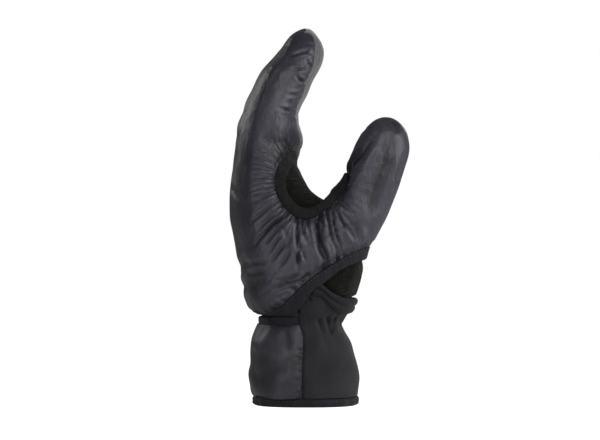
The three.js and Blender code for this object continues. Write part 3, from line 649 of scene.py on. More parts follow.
def level_rings(tables, heights, point_count, middles):
    """Rings of points where level planes cut the joined lobes of some tables."""
    lobes = [Lobe(table) for table in tables]
    angles = np.linspace(0, 2 * math.pi, point_count, endpoint=False)
    z = np.repeat(np.asarray(heights, float)[:, None], point_count, axis=1)
    middle_x, middle_y = np.moveaxis(smooth_table(middles)(z), -1, 0)

    def places(radius):
        return middle_x + np.cos(angles) * radius, middle_y + np.sin(angles) * radius, z

    inside, outside = np.zeros_like(z), np.full_like(z, REACH)
    for _ in range(HALVINGS):
        radius = (inside + outside) / 2
        gap = level_gap(lobes, *places(radius))
        inside = np.where(gap < 0, radius, inside)
        outside = np.where(gap < 0, outside, radius)
    return np.stack(places((inside + outside) / 2), axis=-1)


def limb_rings(rows, ring_count, point_count, inset=0.0, to=1.0):
    """Oval rings square to the middle line of a tapering limb, with rows of x, y, z and two widths."""
    line = smooth_table([(i, *row) for i, row in enumerate(rows)])
    shares = np.linspace(0, to, ring_count) * (len(rows) - 1)
    x, y, z, across, deep = np.moveaxis(line(shares), -1, 0)
    ahead = line(shares + LINE_STEP)[:, :3] - line(shares - LINE_STEP)[:, :3]
    ahead[:, 1] = 0
    ahead /= np.linalg.norm(ahead, axis=1)[:, None]
    level = np.array((0.0, 1.0, 0.0))
    outward = np.cross(level, ahead)
    angles = np.linspace(0, 2 * math.pi, point_count, endpoint=False)[None, :, None]
    middle = np.stack((x, y, z), axis=-1)[:, None]
    half_across = np.maximum(across / 2 - inset, LEAST_RADIUS)[:, None, None]
    half_deep = np.maximum(deep / 2 - inset, LEAST_RADIUS)[:, None, None]
    return middle + outward[:, None] * half_across * np.cos(angles) + level * half_deep * np.sin(angles)


def mitt_levels(heights, point_count):
    """Rings of the overmitt's hand, with the swelling round the thumb's root."""
    return level_rings((MITT_HAND, MITT_ROOT), heights, point_count, MITT_MIDDLE)


def glove_levels(heights, point_count):
    """Rings of the glove from the cuff to the fingers' roots."""
    return level_rings((GLOVE_HAND, GLOVE_ROOT), heights, point_count, GLOVE_MIDDLE)


def hem_levels(heights):
    """Rings of the hem."""
    return level_rings((HEM,), heights, GLOVE_RING_POINTS, HEM_MIDDLE)


# Surfaces: points in rows of columns, and faces in rows of four corners, the last repeated in a triangle


def ring_faces(first, second, size):
    """Faces between two rings of points, which start at these places in the list of points."""
    here = np.arange(size)
    after = (here + 1) % size
    return np.stack((first + here, first + after, second + after, second + here), axis=1)


def loft(rings, closed_ends=True):
    """A surface over rings of points, with fans over its two ends."""
    count, size, _ = rings.shape
    points = rings.reshape(-1, 3)
    bands = [ring_faces(i * size, (i + 1) * size, size) for i in range(count - 1)]
    if closed_ends:
        here = np.arange(size)
        after = (here + 1) % size
        last = (count - 1) * size
        bottom, top = count * size, count * size + 1
        points = np.vstack((points, rings[0].mean(0), rings[-1].mean(0)))
        bands.append(np.stack((after, here, np.full(size, bottom), np.full(size, bottom)), 1))
        bands.append(np.stack((last + here, last + after, np.full(size, top), np.full(size, top)), 1))
    return points, np.vstack(bands)


def face_rows(faces):
    """The faces as tuples without the repeated corner."""
    return [row[:3] if row[3] in row[:3] else row for row in map(tuple, faces.tolist())]


def scratch_object(points, faces):
    """An object to put a modifier on for a moment."""
    mesh = bpy.data.meshes.new("scratch")
    mesh.from_pydata(points[:, :3].tolist(), [], face_rows(faces))
    scratch = bpy.data.objects.new("scratch", mesh)
    bpy.context.scene.collection.objects.link(scratch)
    return scratch


def settled(scratch):
    """The points and faces of an object after its modifiers. The object is removed."""
    graph = bpy.context.evaluated_depsgraph_get()
    shown = scratch.evaluated_get(graph)
    mesh = shown.to_mesh()
    points = np.empty(len(mesh.vertices) * 3)
    mesh.vertices.foreach_get("co", points)
    starts, sizes = np.empty(len(mesh.polygons), int), np.empty(len(mesh.polygons), int)
    mesh.polygons.foreach_get("loop_start", starts)
    mesh.polygons.foreach_get("loop_total", sizes)
    corners = np.empty(len(mesh.loops), int)
    mesh.loops.foreach_get("vertex_index", corners)
    faces = corners[starts[:, None] + np.minimum(np.arange(4), sizes[:, None] - 1)]
    shown.to_mesh_clear()
    old = scratch.data
    bpy.data.objects.remove(scratch)
    bpy.data.meshes.remove(old)
    return points.reshape(-1, 3), faces


def joined(shapes):
    """The points and faces of several shapes in one list each."""
    points = np.vstack([shape[0] for shape in shapes])
    starts = np.cumsum([0] + [len(shape[0]) for shape in shapes[:-1]])
    return points, np.vstack([shape[1] + start for shape, start in zip(shapes, starts)])


def remeshed(shapes, step):
    """One even skin round several closed shapes."""
    scratch = scratch_object(*joined(shapes))
    skin = scratch.modifiers.new("skin", "REMESH")
    skin.mode = "VOXEL"
    skin.voxel_size = step
    return settled(scratch)


def halved(points, faces):
    """Each face in four, rounded as a subdivision surface."""
    scratch = scratch_object(points, faces)
    scratch.modifiers.new("halves", "SUBSURF").levels = 1
    return settled(scratch)


def directed_edges(faces):
    """Each face's edges in their order round it."""
    pairs = np.stack((faces, np.roll(faces, -1, axis=1)), axis=-1).reshape(-1, 2)
    return pairs[pairs[:, 0] != pairs[:, 1]]


def relaxed(points, faces, times, weight=0.5):
    """The points moved towards the middle of their neighbours."""
    a, b = np.unique(np.sort(directed_edges(faces), axis=1), axis=0).T
    count = len(points)
    neighbours = np.bincount(a, minlength=count) + np.bincount(b, minlength=count)
    weight = np.broadcast_to(weight, count)[:, None]
    for _ in range(times):
        total = np.stack([np.bincount(a, points[b, axis], count) + np.bincount(b, points[a, axis], count)
                          for axis in range(3)], axis=1)
        middle = total / np.maximum(neighbours, 1)[:, None]
        points = points + weight * (middle - points)
    return points


def spread(values, faces, times):
    """Values at the corners, evened out over their neighbours."""
    return relaxed(np.repeat(values[:, None], 3, axis=1), faces, times)[:, 0]


def normals_of(points, faces):
    """A normal for each point, from the faces round it."""
    a, b, c, d = (points[faces[:, i]] for i in range(4))
    face_normals = np.cross(b - a, c - a) + np.cross(c - a, d - a)
    total = np.stack([np.bincount(faces.ravel(), np.repeat(face_normals[:, axis], 4), len(points))
                      for axis in range(3)], axis=1)
    return total / np.maximum(np.linalg.norm(total, axis=1), 1e-12)[:, None]


def compact(columns, faces):
    """The surface without the points that no face uses."""
    used = np.unique(faces)
    place = np.zeros(len(columns), int)
    place[used] = np.arange(len(used))
    return columns[used], place[faces]


def clipped(columns, faces, values):
    """Cuts a surface where the values change sign, and keeps the side above nought with all its columns."""
    values = np.where(np.abs(values) < SNAP, 0.0, values)
    corners = values[faces]
    whole = corners.min(1) >= 0
    crossed = ~whole & (corners.max(1) > 0)
    added, places, pieces = [], {}, []

    def cut(a, b):
        pair = (min(a, b), max(a, b))
        if pair not in places:
            share = values[pair[0]] / (values[pair[0]] - values[pair[1]])
            places[pair] = len(columns) + len(added)
            added.append(columns[pair[0]] * (1 - share) + columns[pair[1]] * share)
        return places[pair]

    for face in faces[crossed].tolist():
        ring = list(dict.fromkeys(face))
        outline = []
        for a, b in zip(ring, ring[1:] + ring[:1]):
            if values[a] >= 0:
                outline.append(a)
            if values[a] * values[b] < 0:
                outline.append(cut(a, b))
        last = len(outline) - 1
        for i in range(1, last, 2):
            pieces.append((outline[0], outline[i], outline[i + 1], outline[min(i + 2, last)]))
    faces = np.vstack((faces[whole], np.array(pieces, int).reshape(-1, 4)))
    if added:
        columns = np.vstack((columns, added))
    return compact(columns, faces)


def border_of(faces):
    """The directed edges that only one face has."""
    pairs = [tuple(pair) for pair in directed_edges(faces).tolist()]
    known = set(pairs)
    return [pair for pair in pairs if pair[::-1] not in known]


def border_loops(faces):
    """Each open border as a list of corners in order."""
    after = dict(border_of(faces))
    loops = []
    while after:
        start, here = after.popitem()
        loop = [start]
        while here != start:
            loop.append(here)
            here = after.pop(here)
        loops.append(loop)
    return loops


def laced(first, second, points):
    """Triangles that join two open borders, each a ring of corners in order, that run side by side."""
    start = np.linalg.norm(points[second] - points[first[0]], axis=1).argmin()
    second = second[start:] + second[:start]
    a, b, faces = 0, 0, []
    first, second = first + first[:1], second + second[:1]
    while a < len(first) - 1 or b < len(second) - 1:
        ahead = [math.inf, math.inf]
        if a < len(first) - 1:
            ahead[0] = math.dist(points[first[a + 1]], points[second[b]])
        if b < len(second) - 1:
            ahead[1] = math.dist(points[first[a]], points[second[b + 1]])
        if ahead[0] <= ahead[1]:
            faces.append((first[a + 1], first[a], second[b], second[b]))
            a += 1
        else:
            faces.append((first[a], second[b], second[b + 1], second[b + 1]))
            b += 1
    return faces


def turned_over(faces):
    """The same faces seen from behind. A triangle's repeated corner stays last."""
    turned = faces[:, ::-1]
    return np.where((faces[:, 3] == faces[:, 2])[:, None], np.roll(turned, -1, axis=1), turned)


def lined(outer, faces, inner, inner_faces):
    """An outer surface closed by a coarser lining of its own, joined along their borders."""
    points = np.vstack((outer, inner))
    linings = [[corner + len(outer) for corner in loop] for loop in border_loops(inner_faces)]
    rim = []
    for loop in border_loops(faces):
        middle = points[loop].mean(0)
        partner = min(linings, key=lambda other: np.linalg.norm(points[other].mean(0) - middle))
        rim += laced(loop, partner, points)
    return points, np.vstack((faces, turned_over(inner_faces) + len(outer), np.array(rim, int)))


def walled(outer, inner, faces, pressed):
    """A closed wall between an outer and an inner surface with the same faces.

    The outer one's depths are carried along, with nought for the inner one.
    """
    count = len(outer)
    rim = np.array([(b, a, a + count, b + count) for a, b in border_of(faces)], int)
    walls = np.vstack((faces, turned_over(faces) + count, rim.reshape(-1, 4)))
    return np.vstack((outer, inner)), walls, np.concatenate((pressed, np.zeros(count)))


# Lines on the surfaces


def above_line(points, line):
    """How far points lie above a side-view line."""
    at = smooth_table(line)
    x, z = points[:, 0], points[:, 2]
    rise = (at(x + 0.5) - at(x - 0.5))[:, 0]
    return (z - at(x)[:, 0]) / np.sqrt(1 + rise * rise)


def beyond_seam(points):
    """How far points lie inside the seam round the finger panel, seen from the side or from the palm."""
    x, y, z = points[:, :3].T
    back, palm, _, _ = smooth_table(MITT_HAND)(z).T
    at_side = x - smooth_table(FINGER_SEAM)(z)[:, 0]
    across = smooth_table(PANEL_BREADTH)(z)[:, 0] - np.abs(y - PANEL_MIDDLE)
    on_palm = np.minimum(across, x - (back + palm) / 2)
    return -soft_minimum(-at_side, -on_palm, PANEL_CORNER)


@cache
def grip_radius():
    """The window's radius round its middle as a function of the angle."""
    from_middle = np.array(GRIP_OUTLINE) - GRIP_MIDDLE
    angles = np.arctan2(from_middle[:, 1], from_middle[:, 0])
    rows = sorted(zip(angles, np.hypot(*from_middle.T)))
    turn = 2 * math.pi
    before = [(angle - turn, radius) for angle, radius in rows[-3:]]
    after = [(angle + turn, radius) for angle, radius in rows[:3]]
    return smooth_table(before + rows + after)


def behind_pocket_seam(points):
    """How far points lie on the pocket's side of its seam."""
    return smooth_table(POCKET_SEAM)(points[:, 2])[:, 0] - points[:, 0]


def grip_share(points):
    """1 on the edge of the grip opening's window, less inside it and more outside."""
    x, z = points[:, 0] - GRIP_MIDDLE[0], points[:, 2] - GRIP_MIDDLE[1]
    across = np.hypot(x, z) / grip_radius()(np.arctan2(z, x))[:, 0]
    deep = np.maximum(points[:, 1] - GRIP_STRAIGHT_TO, 0) / GRIP_ROUNDING
    return np.hypot(across, deep)


def grip_gap(points, share=1.0):
    """About how far points lie outside the window, in millimetres."""
    return (grip_share(points) - share) * GRIP_ROUNDING


def as_seen(points):
    """Where the camera sees points, in millimetres of the photograph's plane: x and z."""
    nearness = CAMERA_DISTANCE / (CAMERA_DISTANCE + points[:, 1])
    x = CAMERA_X + (points[:, 0] - CAMERA_X) * nearness
    z = CAMERA_Z + FOLD_TABLE_DROP + (points[:, 2] - CAMERA_Z) * nearness
    return np.stack((x, z), axis=1)


def fold_depth(places, folds):
    """How deep a table of folds presses at places given in two coordinates."""
    depth = np.zeros(len(places))
    for width, deep, *path in folds:
        path = np.array(path, float)
        lengths = np.linalg.norm(np.diff(path, axis=0), axis=1)
        starts = np.concatenate(([0], np.cumsum(lengths)))
        nearest, share = np.full(len(places), REACH), np.zeros(len(places))
        for i, length in enumerate(lengths):
            along = (path[i + 1] - path[i]) / length
            here = places - path[i]
            run = np.clip(here @ along, 0, length)
            away = np.linalg.norm(here - run[:, None] * along, axis=1)
            closer = away < nearest
            nearest = np.where(closer, away, nearest)
            share = np.where(closer, (starts[i] + run) / starts[-1], share)
        away = nearest / width
        groove = np.exp(-(away**FOLD_SHARPNESS)) - FOLD_RIDGE * bell(away - FOLD_RIDGE_AWAY, 1)
        depth += deep * groove * np.sin(math.pi * (FOLD_START + (1 - FOLD_START) * share))
    return depth


def nearest_on(loop, points):
    """For each point, its distance to a closed line, how far along the line the nearest place is, and the
    line's length and corner there."""
    lengths = np.linalg.norm(np.roll(loop, -1, axis=0) - loop, axis=1)
    along = np.concatenate(([0], np.cumsum(lengths)[:-1]))
    tree = KDTree(len(loop))
    for i, place in enumerate(loop):
        tree.insert(place, i)
    tree.balance()
    found = [tree.find(point)[1:] for point in points]
    index = np.array([i for i, _ in found], int)
    away = np.array([distance for _, distance in found])
    return away, along[index], float(lengths.sum()), index


def gathers(away, along, length, spacing, depth, reach, seed):
    """How deep the puckers beside an elastic edge press. They start at the edge and die away."""
    draw = np.random.default_rng(seed)
    count = int(length / spacing)
    pressed = np.zeros(len(away))
    for i in range(count):
        middle = (i + draw.uniform(-PUCKER_SHIFT, PUCKER_SHIFT)) * spacing
        lean = draw.uniform(-PUCKER_LEAN, PUCKER_LEAN)
        width = draw.uniform(*PUCKER_WIDTH) * spacing
        run = reach * draw.uniform(*PUCKER_RUN)
        deep = depth * draw.uniform(*PUCKER_DEPTH) ** 2
        beside = along - middle - lean * away
        beside = (beside + length / 2) % length - length / 2
        offset = np.abs(beside) / (width * (1 + PUCKER_WIDENING * away / reach))
        fade = np.clip(1 - away / run, 0, 1) ** PUCKER_FADE
        ridge = PUCKER_RIDGE * np.exp(-((offset - PUCKER_RIDGE_AWAY) ** 2))
        pressed += deep * fade * (np.exp(-(offset**2)) - ridge)
    return pressed


def ripples(points, length, depth, seed):
    """A soft uneven swell: many faint waves in all directions, about so long and so deep."""
    draw = np.random.default_rng(seed)
    swell = np.zeros(points.shape[:-1])
    for _ in range(SWELL_WAVES):
        heading = draw.normal(size=3)
        heading /= np.linalg.norm(heading)
        wave = length * draw.uniform(*SWELL_LENGTHS)
        swell += np.sin(points @ heading * (2 * math.pi / wave) + draw.uniform(0, 2 * math.pi))
    return depth * swell / math.sqrt(SWELL_WAVES / 2)


# The overmitt's cloth


def edge_distances(points):
    """How far points lie from the grip opening, above the lower edge and from the finger seam."""
    window = grip_gap(points)
    sleeve = above_line(points, SLEEVE_EDGE)
    on_fingers = (points[:, 2] > PANEL_BOTTOM - SEAM_OVERRUN) & (points[:, 0] < PANEL_SIDE)
    seam = np.where(on_fingers, np.abs(beyond_seam(points)), REACH)
    return window, sleeve, seam


@cache
def mitt_skin():
    """The overmitt's closed skin before it is cut, plump and smooth."""
    heights = np.arange(MITT_HAND[0][0], MITT_TIP_HEIGHTS[0], MITT_RING_STEP)
    hand = loft(mitt_levels(np.concatenate((heights, MITT_TIP_HEIGHTS)), SKIN_POINTS))
    thumb = loft(limb_rings(MITT_THUMB, *MITT_THUMB_GRID))
    points, faces = remeshed((hand, thumb), CLOTH_STEP)
    points = relaxed(points, faces, MITT_EVENED)
    away = np.linalg.norm(points - np.array(THUMB_JOINT), axis=1)
    weight = 0.5 * (1 - smooth_step(away, *THUMB_JOINT_REACH))
    return relaxed(points, faces, JOINT_EVENED, weight), faces


def simulated(points, faces, held, growth):
    """The skin after a short cloth simulation. Held corners stay, and the rest grows over the air inside."""
    scratch = scratch_object(points / CLOTH_UNIT, faces)
    for name, weights in (("held", held), ("growth", growth)):
        group = scratch.vertex_groups.new(name=name)
        for level in np.unique(weights).tolist():
            group.add(np.flatnonzero(weights == level).tolist(), level, "REPLACE")
    cloth = scratch.modifiers.new("cloth", "CLOTH")
    settings = cloth.settings
    settings.quality = CLOTH_QUALITY
    settings.vertex_group_mass = "held"
    settings.vertex_group_shrink = "growth"
    settings.shrink_min = 0.0
    settings.shrink_max = -CLOTH_GROWTH
    settings.bending_stiffness = CLOTH_BENDING
    settings.use_pressure = True
    settings.uniform_pressure_force = CLOTH_AIR
    settings.effector_weights.gravity = 0.0
    cloth.collision_settings.use_collision = False
    cloth.point_cache.frame_start = 1
    cloth.point_cache.frame_end = CLOTH_FRAMES
    scene = bpy.context.scene
    scene.frame_start, scene.frame_end = 1, CLOTH_FRAMES
    for moment in range(1, CLOTH_FRAMES + 1):
        scene.frame_set(moment)
    found, _ = settled(scratch)
    scene.frame_set(1)
    return found * CLOTH_UNIT


@cache
def mitt_cloth():
    """The points of the overmitt's closed skin with its crumples.

    They keep within a cap and leave the main form as it is.
    """
    points, faces = mitt_skin()
    window, sleeve, seam = edge_distances(points)
    held = (np.minimum(window, sleeve) < HELD_AT_EDGE) | (seam < HELD_AT_SEAM)
    near = np.maximum(np.minimum(window, sleeve), 0)
    growth = CALM_GROWTH + (1 - CALM_GROWTH) * bell(near, GROWTH_REACH)
    growth = np.round(growth, 2)
    start = points + normals_of(points, faces) * ripples(points, *START_SWELL, seed=11)[:, None]
    moved = simulated(start, faces, held.astype(float), growth) - points
    form = np.stack([spread(moved[:, axis], faces, FORM_ROUNDS) for axis in range(3)], axis=1)
    calm = CALM_FINGERS * smooth_step(points[:, 2], *CALM_FROM_Z)
    moved = (moved - form) * (1 - calm)[:, None]
    size = np.linalg.norm(moved, axis=1)
    return points + moved * (np.minimum(size, CLOTH_CAP) / np.maximum(size, 1e-9))[:, None]


def flush_at_palm(points):
    """Less than 1 where the lower edge runs over the heel of the thumb, stretched flat."""
    return 1 - FLUSH_SHARE * smooth_step(points[..., 0], *FLUSH_X)


def cut_at_edges(columns, faces):
    """The overmitt's skin without its openings. Its columns 3 to 5 are the plain surface."""
    columns, faces = clipped(columns, faces, above_line(columns[:, 3:6], SLEEVE_EDGE) - SEAM_GAP)
    return clipped(columns, faces, grip_gap(columns[:, 3:6]) - SEAM_GAP)


def elastic_edges(plain, faces):
    """The nearest place on an elastic edge with its distance, and how deep the edges press the cloth."""
    nearest = np.zeros((len(plain), 4))
    nearest[:, 3] = REACH
    depth = np.zeros(len(plain))
    for loop in border_loops(faces):
        edge = plain[loop]
        at_grip = bool(np.abs(grip_gap(edge)).mean() < np.abs(above_line(edge, SLEEVE_EDGE)).mean())
        away, along, length, corner = nearest_on(edge, plain)
        closer = away < nearest[:, 3]
        nearest[closer] = np.column_stack((edge[corner], away + STREAK_START[at_grip]))[closer]
        puckers = GRIP_GATHERS if at_grip else EDGE_GATHERS
        depth += gathers(away, along, length, *puckers, seed=5 + at_grip)
        depth += EDGE_SINK * flush_at_palm(plain) * bell(away, EDGE_DIP)
    nearest[:, :3] = relaxed(nearest[:, :3], faces, 3)
    return nearest, depth


def seam_relief(plain):
    """How deep the finger seam and its puckers press, less how far the cloth swells beside them."""
    _, _, away = edge_distances(plain)
    along = plain[:, 2] + np.where(plain[:, 1] > 0, SEAM_SIDE_SHIFT, -SEAM_SIDE_SHIFT)
    relief = gathers(away, along, SEAM_LINE_LENGTH, *SEAM_GATHERS, seed=9)
    swell = np.where(beyond_seam(plain) < 0, SEAM_SWELL_REACH, SEAM_DIP)
    relief += SEAM_SINK * bell(away, SEAM_DIP) - SEAM_SWELL * bell(away, swell)
    return relief * (1 - smooth_step(plain[:, 2], *SEAM_END_Z))


@cache
def mitt_surface():
    """The overmitt's outer surface, cut at its edges, with its folds.

    Columns: the folded surface, the plain surface and its normals, how deep the cloth is pressed, then the
    nearest place on an elastic edge and the distance to it.
    """
    points, coarse = mitt_skin()
    plain, faces = halved(points, coarse)
    cloth, _ = halved(mitt_cloth(), coarse)
    columns, faces = cut_at_edges(np.hstack((cloth, plain, normals_of(plain, faces))), faces)
    plain, normals = columns[:, 3:6], columns[:, 6:9]
    edges, depth = elastic_edges(plain, faces)
    depth += seam_relief(plain)
    depth += smooth_step(-normals[:, 1], *FACING) * fold_depth(as_seen(plain), MITT_FOLDS)
    depth += smooth_step(-normals[:, 0], *FACING) * fold_depth(plain[:, 1:], BACK_FOLDS)
    depth += smooth_step(normals[:, 1], *FACING) * fold_depth(plain[:, ::2], FAR_FOLDS)
    depth += ripples(plain, *MITT_SWELL, seed=3)
    depth -= MITT_PUFF * (1 - smooth_step(plain[:, 2], *PUFF_END_Z))
    depth += BACK_TRIM * smooth_step(-normals[:, 0], *BACK_FACING)
    depth -= THUMB_PUFF * smooth_step(plain[:, 0], *THUMB_PUFF_X) * smooth_step(plain[:, 2], *THUMB_PUFF_Z)
    folded = columns[:, :3] - normals * depth[:, None]
    over_band = bell(above_line(plain, SLEEVE_EDGE), DROOP_REACH)
    folded[:, 2] -= SHELL_DROOP * over_band * smooth_step(-plain[:, 0], *DROOP_BACK)
    return np.hstack((folded, plain, normals, depth[:, None], edges)), faces


def beyond_panel(plain):
    """How far points lie outside the finger panel, negative on it."""
    return np.maximum(-beyond_seam(plain), np.maximum(PANEL_BOTTOM - plain[:, 2], plain[:, 0] - PANEL_SIDE))


@cache
def mitt_lining():
    """The overmitt's lining, coarser than its outer surface. Columns: the lining, the plain surface."""
    plain, faces = mitt_skin()
    return cut_at_edges(np.hstack((plain - normals_of(plain, faces) * MITT_WALL, plain)), faces)


def mitt_part(on_panel):
    """The shell or the finger panel, with its lining."""
    side = -1 if on_panel else 1
    columns, faces = mitt_surface()
    columns, faces = clipped(columns, faces, side * beyond_panel(columns[:, 3:6]) - SEAM_GAP)
    lining, lining_faces = mitt_lining()
    lining, lining_faces = clipped(lining, lining_faces, side * beyond_panel(lining[:, 3:]) - SEAM_GAP)
    points, faces = lined(columns[:, :3], faces, lining[:, :3], lining_faces)
    marks = np.zeros((len(points), 5))
    marks[:, 4] = REACH
    marks[: len(columns)] = columns[:, 9:]
    return points, faces, marks


# Bands and strips


def surface_strip(rings, heights):
    """A grid of points on a ringed surface, at given heights in each column of its points."""
    count = rings.shape[1]
    grid = np.empty((len(heights), count, 3))
    for column in range(count):
        for axis in range(3):
            grid[:, column, axis] = np.interp(heights[:, column], rings[:, column, 2], rings[:, column, axis])
    return grid


def crossing_heights(rings, line):
    """The height where each column of a ringed surface crosses a side-view line."""
    count = rings.shape[1]
    found = np.empty(count)
    at = smooth_table(line)
    for column in range(count):
        above = rings[:, column, 2] - at(rings[:, column, 0])[:, 0]
        i = max(int(np.argmax(above > 0)), 1)
        share = above[i - 1] / (above[i - 1] - above[i])
        found[column] = rings[i - 1, column, 2] * (1 - share) + rings[i, column, 2] * share
    return found


def grid_normals(grid):
    """Normals of a closed ring-by-ring grid."""
    around = np.roll(grid, -1, axis=1) - np.roll(grid, 1, axis=1)
    up = np.gradient(grid, axis=0)
    normals = np.cross(around, up)
    return normals / np.linalg.norm(normals, axis=2)[:, :, None]


def grid_lengths(grid):
    """How far along its middle ring each column lies, and the ring's whole length."""
    ring = grid[len(grid) // 2]
    steps = np.linalg.norm(np.roll(ring, -1, axis=0) - ring, axis=1)
    return np.concatenate(([0], np.cumsum(steps)[:-1])), steps.sum()


def strip_tube(outer, inner, pressed):
    """A closed ring-shaped solid between two grids, with the outer one's depths and nought elsewhere."""
    profile = np.concatenate((outer, inner[::-1]), axis=0)
    size, count, _ = profile.shape
    bands = [ring_faces(i * count, (i + 1) % size * count, count) for i in range(size)]
    depths = np.zeros((size, count))
    depths[:len(pressed)] = pressed
    return profile.reshape(-1, 3), np.vstack(bands), depths.ravel()


def cut_strip(outer, inner, pressed, beyond):
    """A strip between two grids, kept where a function of its outer points is above nought."""
    points, faces = loft(outer, closed_ends=False)
    columns = np.hstack((points, inner.reshape(-1, 3), pressed.reshape(-1, 1)))
    columns, faces = clipped(columns, faces, beyond(points))
    return walled(columns[:, :3], columns[:, 3:6], faces, columns[:, 6])


def rounding(share):
    """How full a band's rounded profile is at shares of its width."""
    return 1 - np.abs(2 * share - 1) ** BAND_SQUARENESS


def rounded_share(count):
    """Shares across a band that crowd towards its edges, and how full its profile is there, as columns."""
    share = (1 - np.cos(np.linspace(0, math.pi, count)))[:, None] / 2
    return share, rounding(share)


def ribbed(along, length, spacing, depth):
    """Fine upright ribs of an elastic, a whole number of them round its length."""
    count = round(length / spacing)
    return depth * (1 - np.abs(np.cos(math.pi * count * along / length)))


def elastic_relief(points, along, length, full, swell, seed):
    """How deep an elastic's ribbed and rounded surface lies, and how far its creases count as pressed."""
    press = ribbed(along, length, RIB_SPACING, RIB_DEPTH) * full
    wave = ripples(points, *swell, seed) * full
    # The second value gives the band painted shade in its ribs and along its rounded edges.
    return (1 - full) * BAND_EDGE + press + wave, press + BAND_CREASE * (1 - full)


@cache
def glove_rings():
    """The glove's outline from the hem to the root of the thumb."""
    return glove_levels(np.arange(CUFF_BOTTOM, BANDS_TOP_Z, RING_STEP), GLOVE_RING_POINTS)


@cache
def mitt_rings():
    """The overmitt's outline round its lower edge."""
    return mitt_levels(np.arange(MITT_RINGS_BOTTOM, BANDS_TOP_Z, RING_STEP), MITT_RING_POINTS)


def grip_band_mesh():
    """The elastic of the grip opening, cut out of the overmitt's own surface."""
    points, coarse = mitt_skin()
    share = grip_share(points)[coarse]
    least, most = GRIP_BAND_NEAR
    points, faces = halved(points, coarse[(share.min(1) < most) & (share.max(1) > least)])
    points, faces = halved(points, faces)
    columns = np.hstack((points, normals_of(points, faces)))
    columns, faces = clipped(columns, faces, -grip_gap(columns[:, :3]) - SEAM_GAP)
    columns, faces = clipped(columns, faces, grip_gap(columns[:, :3], 1 - GRIP_BAND_SHARE))
    points, normals = columns[:, :3], columns[:, 3:6]
    outer_loop = max(border_loops(faces), key=lambda loop: grip_share(points[loop]).mean())
    _, along, length, _ = nearest_on(points[outer_loop], points)
    share = np.clip((1 - grip_share(points)) / GRIP_BAND_SHARE, 0, 1)
    relief, crease = elastic_relief(points, along, length, rounding(share), BAND_SWELL, seed=21)
    outer = points - normals * (BAND_SINK + relief)[:, None]
    inner = points - normals * (BAND_SINK + BAND_THICKNESS)
    return walled(outer, inner, faces, crease)


# The glove under the overmitt


def finger_rows(y, share):
    """Rows of one finger's stall: x, y, z and two widths."""
    line = smooth_table([(i, *row) for i, row in enumerate(FINGER_LINE)])
    last = len(FINGER_LINE) - 1
    steps = np.linspace(0, last * share, FINGER_STEPS)
    x, z = line(steps).T
    size = FINGER_ROOT_DIAMETER + (FINGER_TIP_DIAMETER - FINGER_ROOT_DIAMETER) * steps / steps[-1]
    middle_y = y * (1 - FINGER_GATHERING * steps / last)
    rows = np.column_stack((x, middle_y, z, size, size))
    end = rows[-1, :3]
    ahead = end - rows[-2, :3]
    ahead /= np.linalg.norm(ahead)
    tip = []
    for rise in FINGER_TIP_RISES:
        width = FINGER_TIP_DIAMETER * math.sqrt(1 - rise * rise)
        tip.append((*(end + ahead * FINGER_TIP_DIAMETER / 2 * rise), width, width))
    return np.vstack((rows, tip))


def fleece_mesh():
    """The fleece hand with its five stalls."""
    hand = loft(glove_levels(np.arange(*GLOVE_HEIGHTS), SKIN_POINTS))
    thumb = loft(limb_rings(MITT_THUMB, *GLOVE_THUMB_GRID, GLOVE_THUMB_INSET, to=GLOVE_THUMB_SHARE))
    fingers = [loft(limb_rings(finger_rows(y, share), *GLOVE_FINGER_GRID)) for y, share in FINGERS]
    points, faces = remeshed([hand, thumb, *fingers], GLOVE_STEP)
    points = relaxed(points, faces, GLOVE_EVENED)
    columns = np.hstack((points, normals_of(points, faces)))
    columns, faces = clipped(columns, faces, above_line(points, PALM_SEAM) - SEAM_GAP)
    points, normals = columns[:, :3], columns[:, 3:6]
    above_welt = np.maximum(above_line(points, PALM_SEAM) - WELT_WIDTH / 2, 0)
    depth = ripples(points, *FLEECE_SWELL, seed=31) + WELT_DITCH * bell(above_welt, WELT_DITCH_WIDTH)
    press, _ = side_folds(points, normals, HEEL_FOLDS)
    outer = points - normals * (depth + press)[:, None]
    # The same depth gives the fleece painted shade, most in the ditch behind the welt.
    return walled(outer, points - normals * (GLOVE_WALL + depth)[:, None], faces, depth)


def side_folds(points, normals, folds):
    """Folds pressed into what the camera sees, and how much each point faces it."""
    seen = smooth_step(-normals[:, 1], *FACING)
    return seen * fold_depth(as_seen(points), folds), seen


def cuff_part(ring_count, seed):
    """The cuff's plain surface up to a ring, its normals, and how deep its folds and waist gathers press."""
    rings = glove_rings()[:ring_count]
    points, faces = loft(rings, closed_ends=False)
    normals = grid_normals(rings).reshape(-1, 3)
    along, length = grid_lengths(rings)
    away = np.abs(points[:, 2] - WAIST_Z)
    waist = gathers(away, np.tile(along, ring_count), length, *WAIST_GATHERS, seed=seed)
    press, seen = side_folds(points, normals, CUFF_FOLDS)
    return points, faces, normals, press + (1 - WAIST_CALM * seen) * waist


def sleeve_mesh():
    """The softshell wrist, from the hem up to the welt."""
    points, faces, normals, depth = cuff_part(SLEEVE_RING_COUNT, seed=41)
    depth += ripples(points, *SLEEVE_SWELL, seed=42)
    behind = behind_pocket_seam(points)
    covered = smooth_step(behind, *SLEEVE_COVERED)
    under_pocket = depth * (1 - covered) + SLEEVE_COVERED_SINK * covered
    depth = np.where(points[:, 2] < BINDING_TOP, under_pocket, depth)
    depth += SEAM_DITCH * bell(behind, SEAM_DITCH_WIDTH)
    depth += SLEEVE_EDGE_SINK * bell(above_line(points, PALM_SEAM), SLEEVE_EDGE_WIDTH)
    columns = np.hstack((points - normals * depth[:, None], points, normals, depth[:, None]))
    columns, faces = clipped(columns, faces, -above_line(points, PALM_SEAM) - SEAM_GAP)
    inner = columns[:, 3:6] - columns[:, 6:9] * GLOVE_WALL
    return walled(columns[:, :3], inner, faces, columns[:, 9])


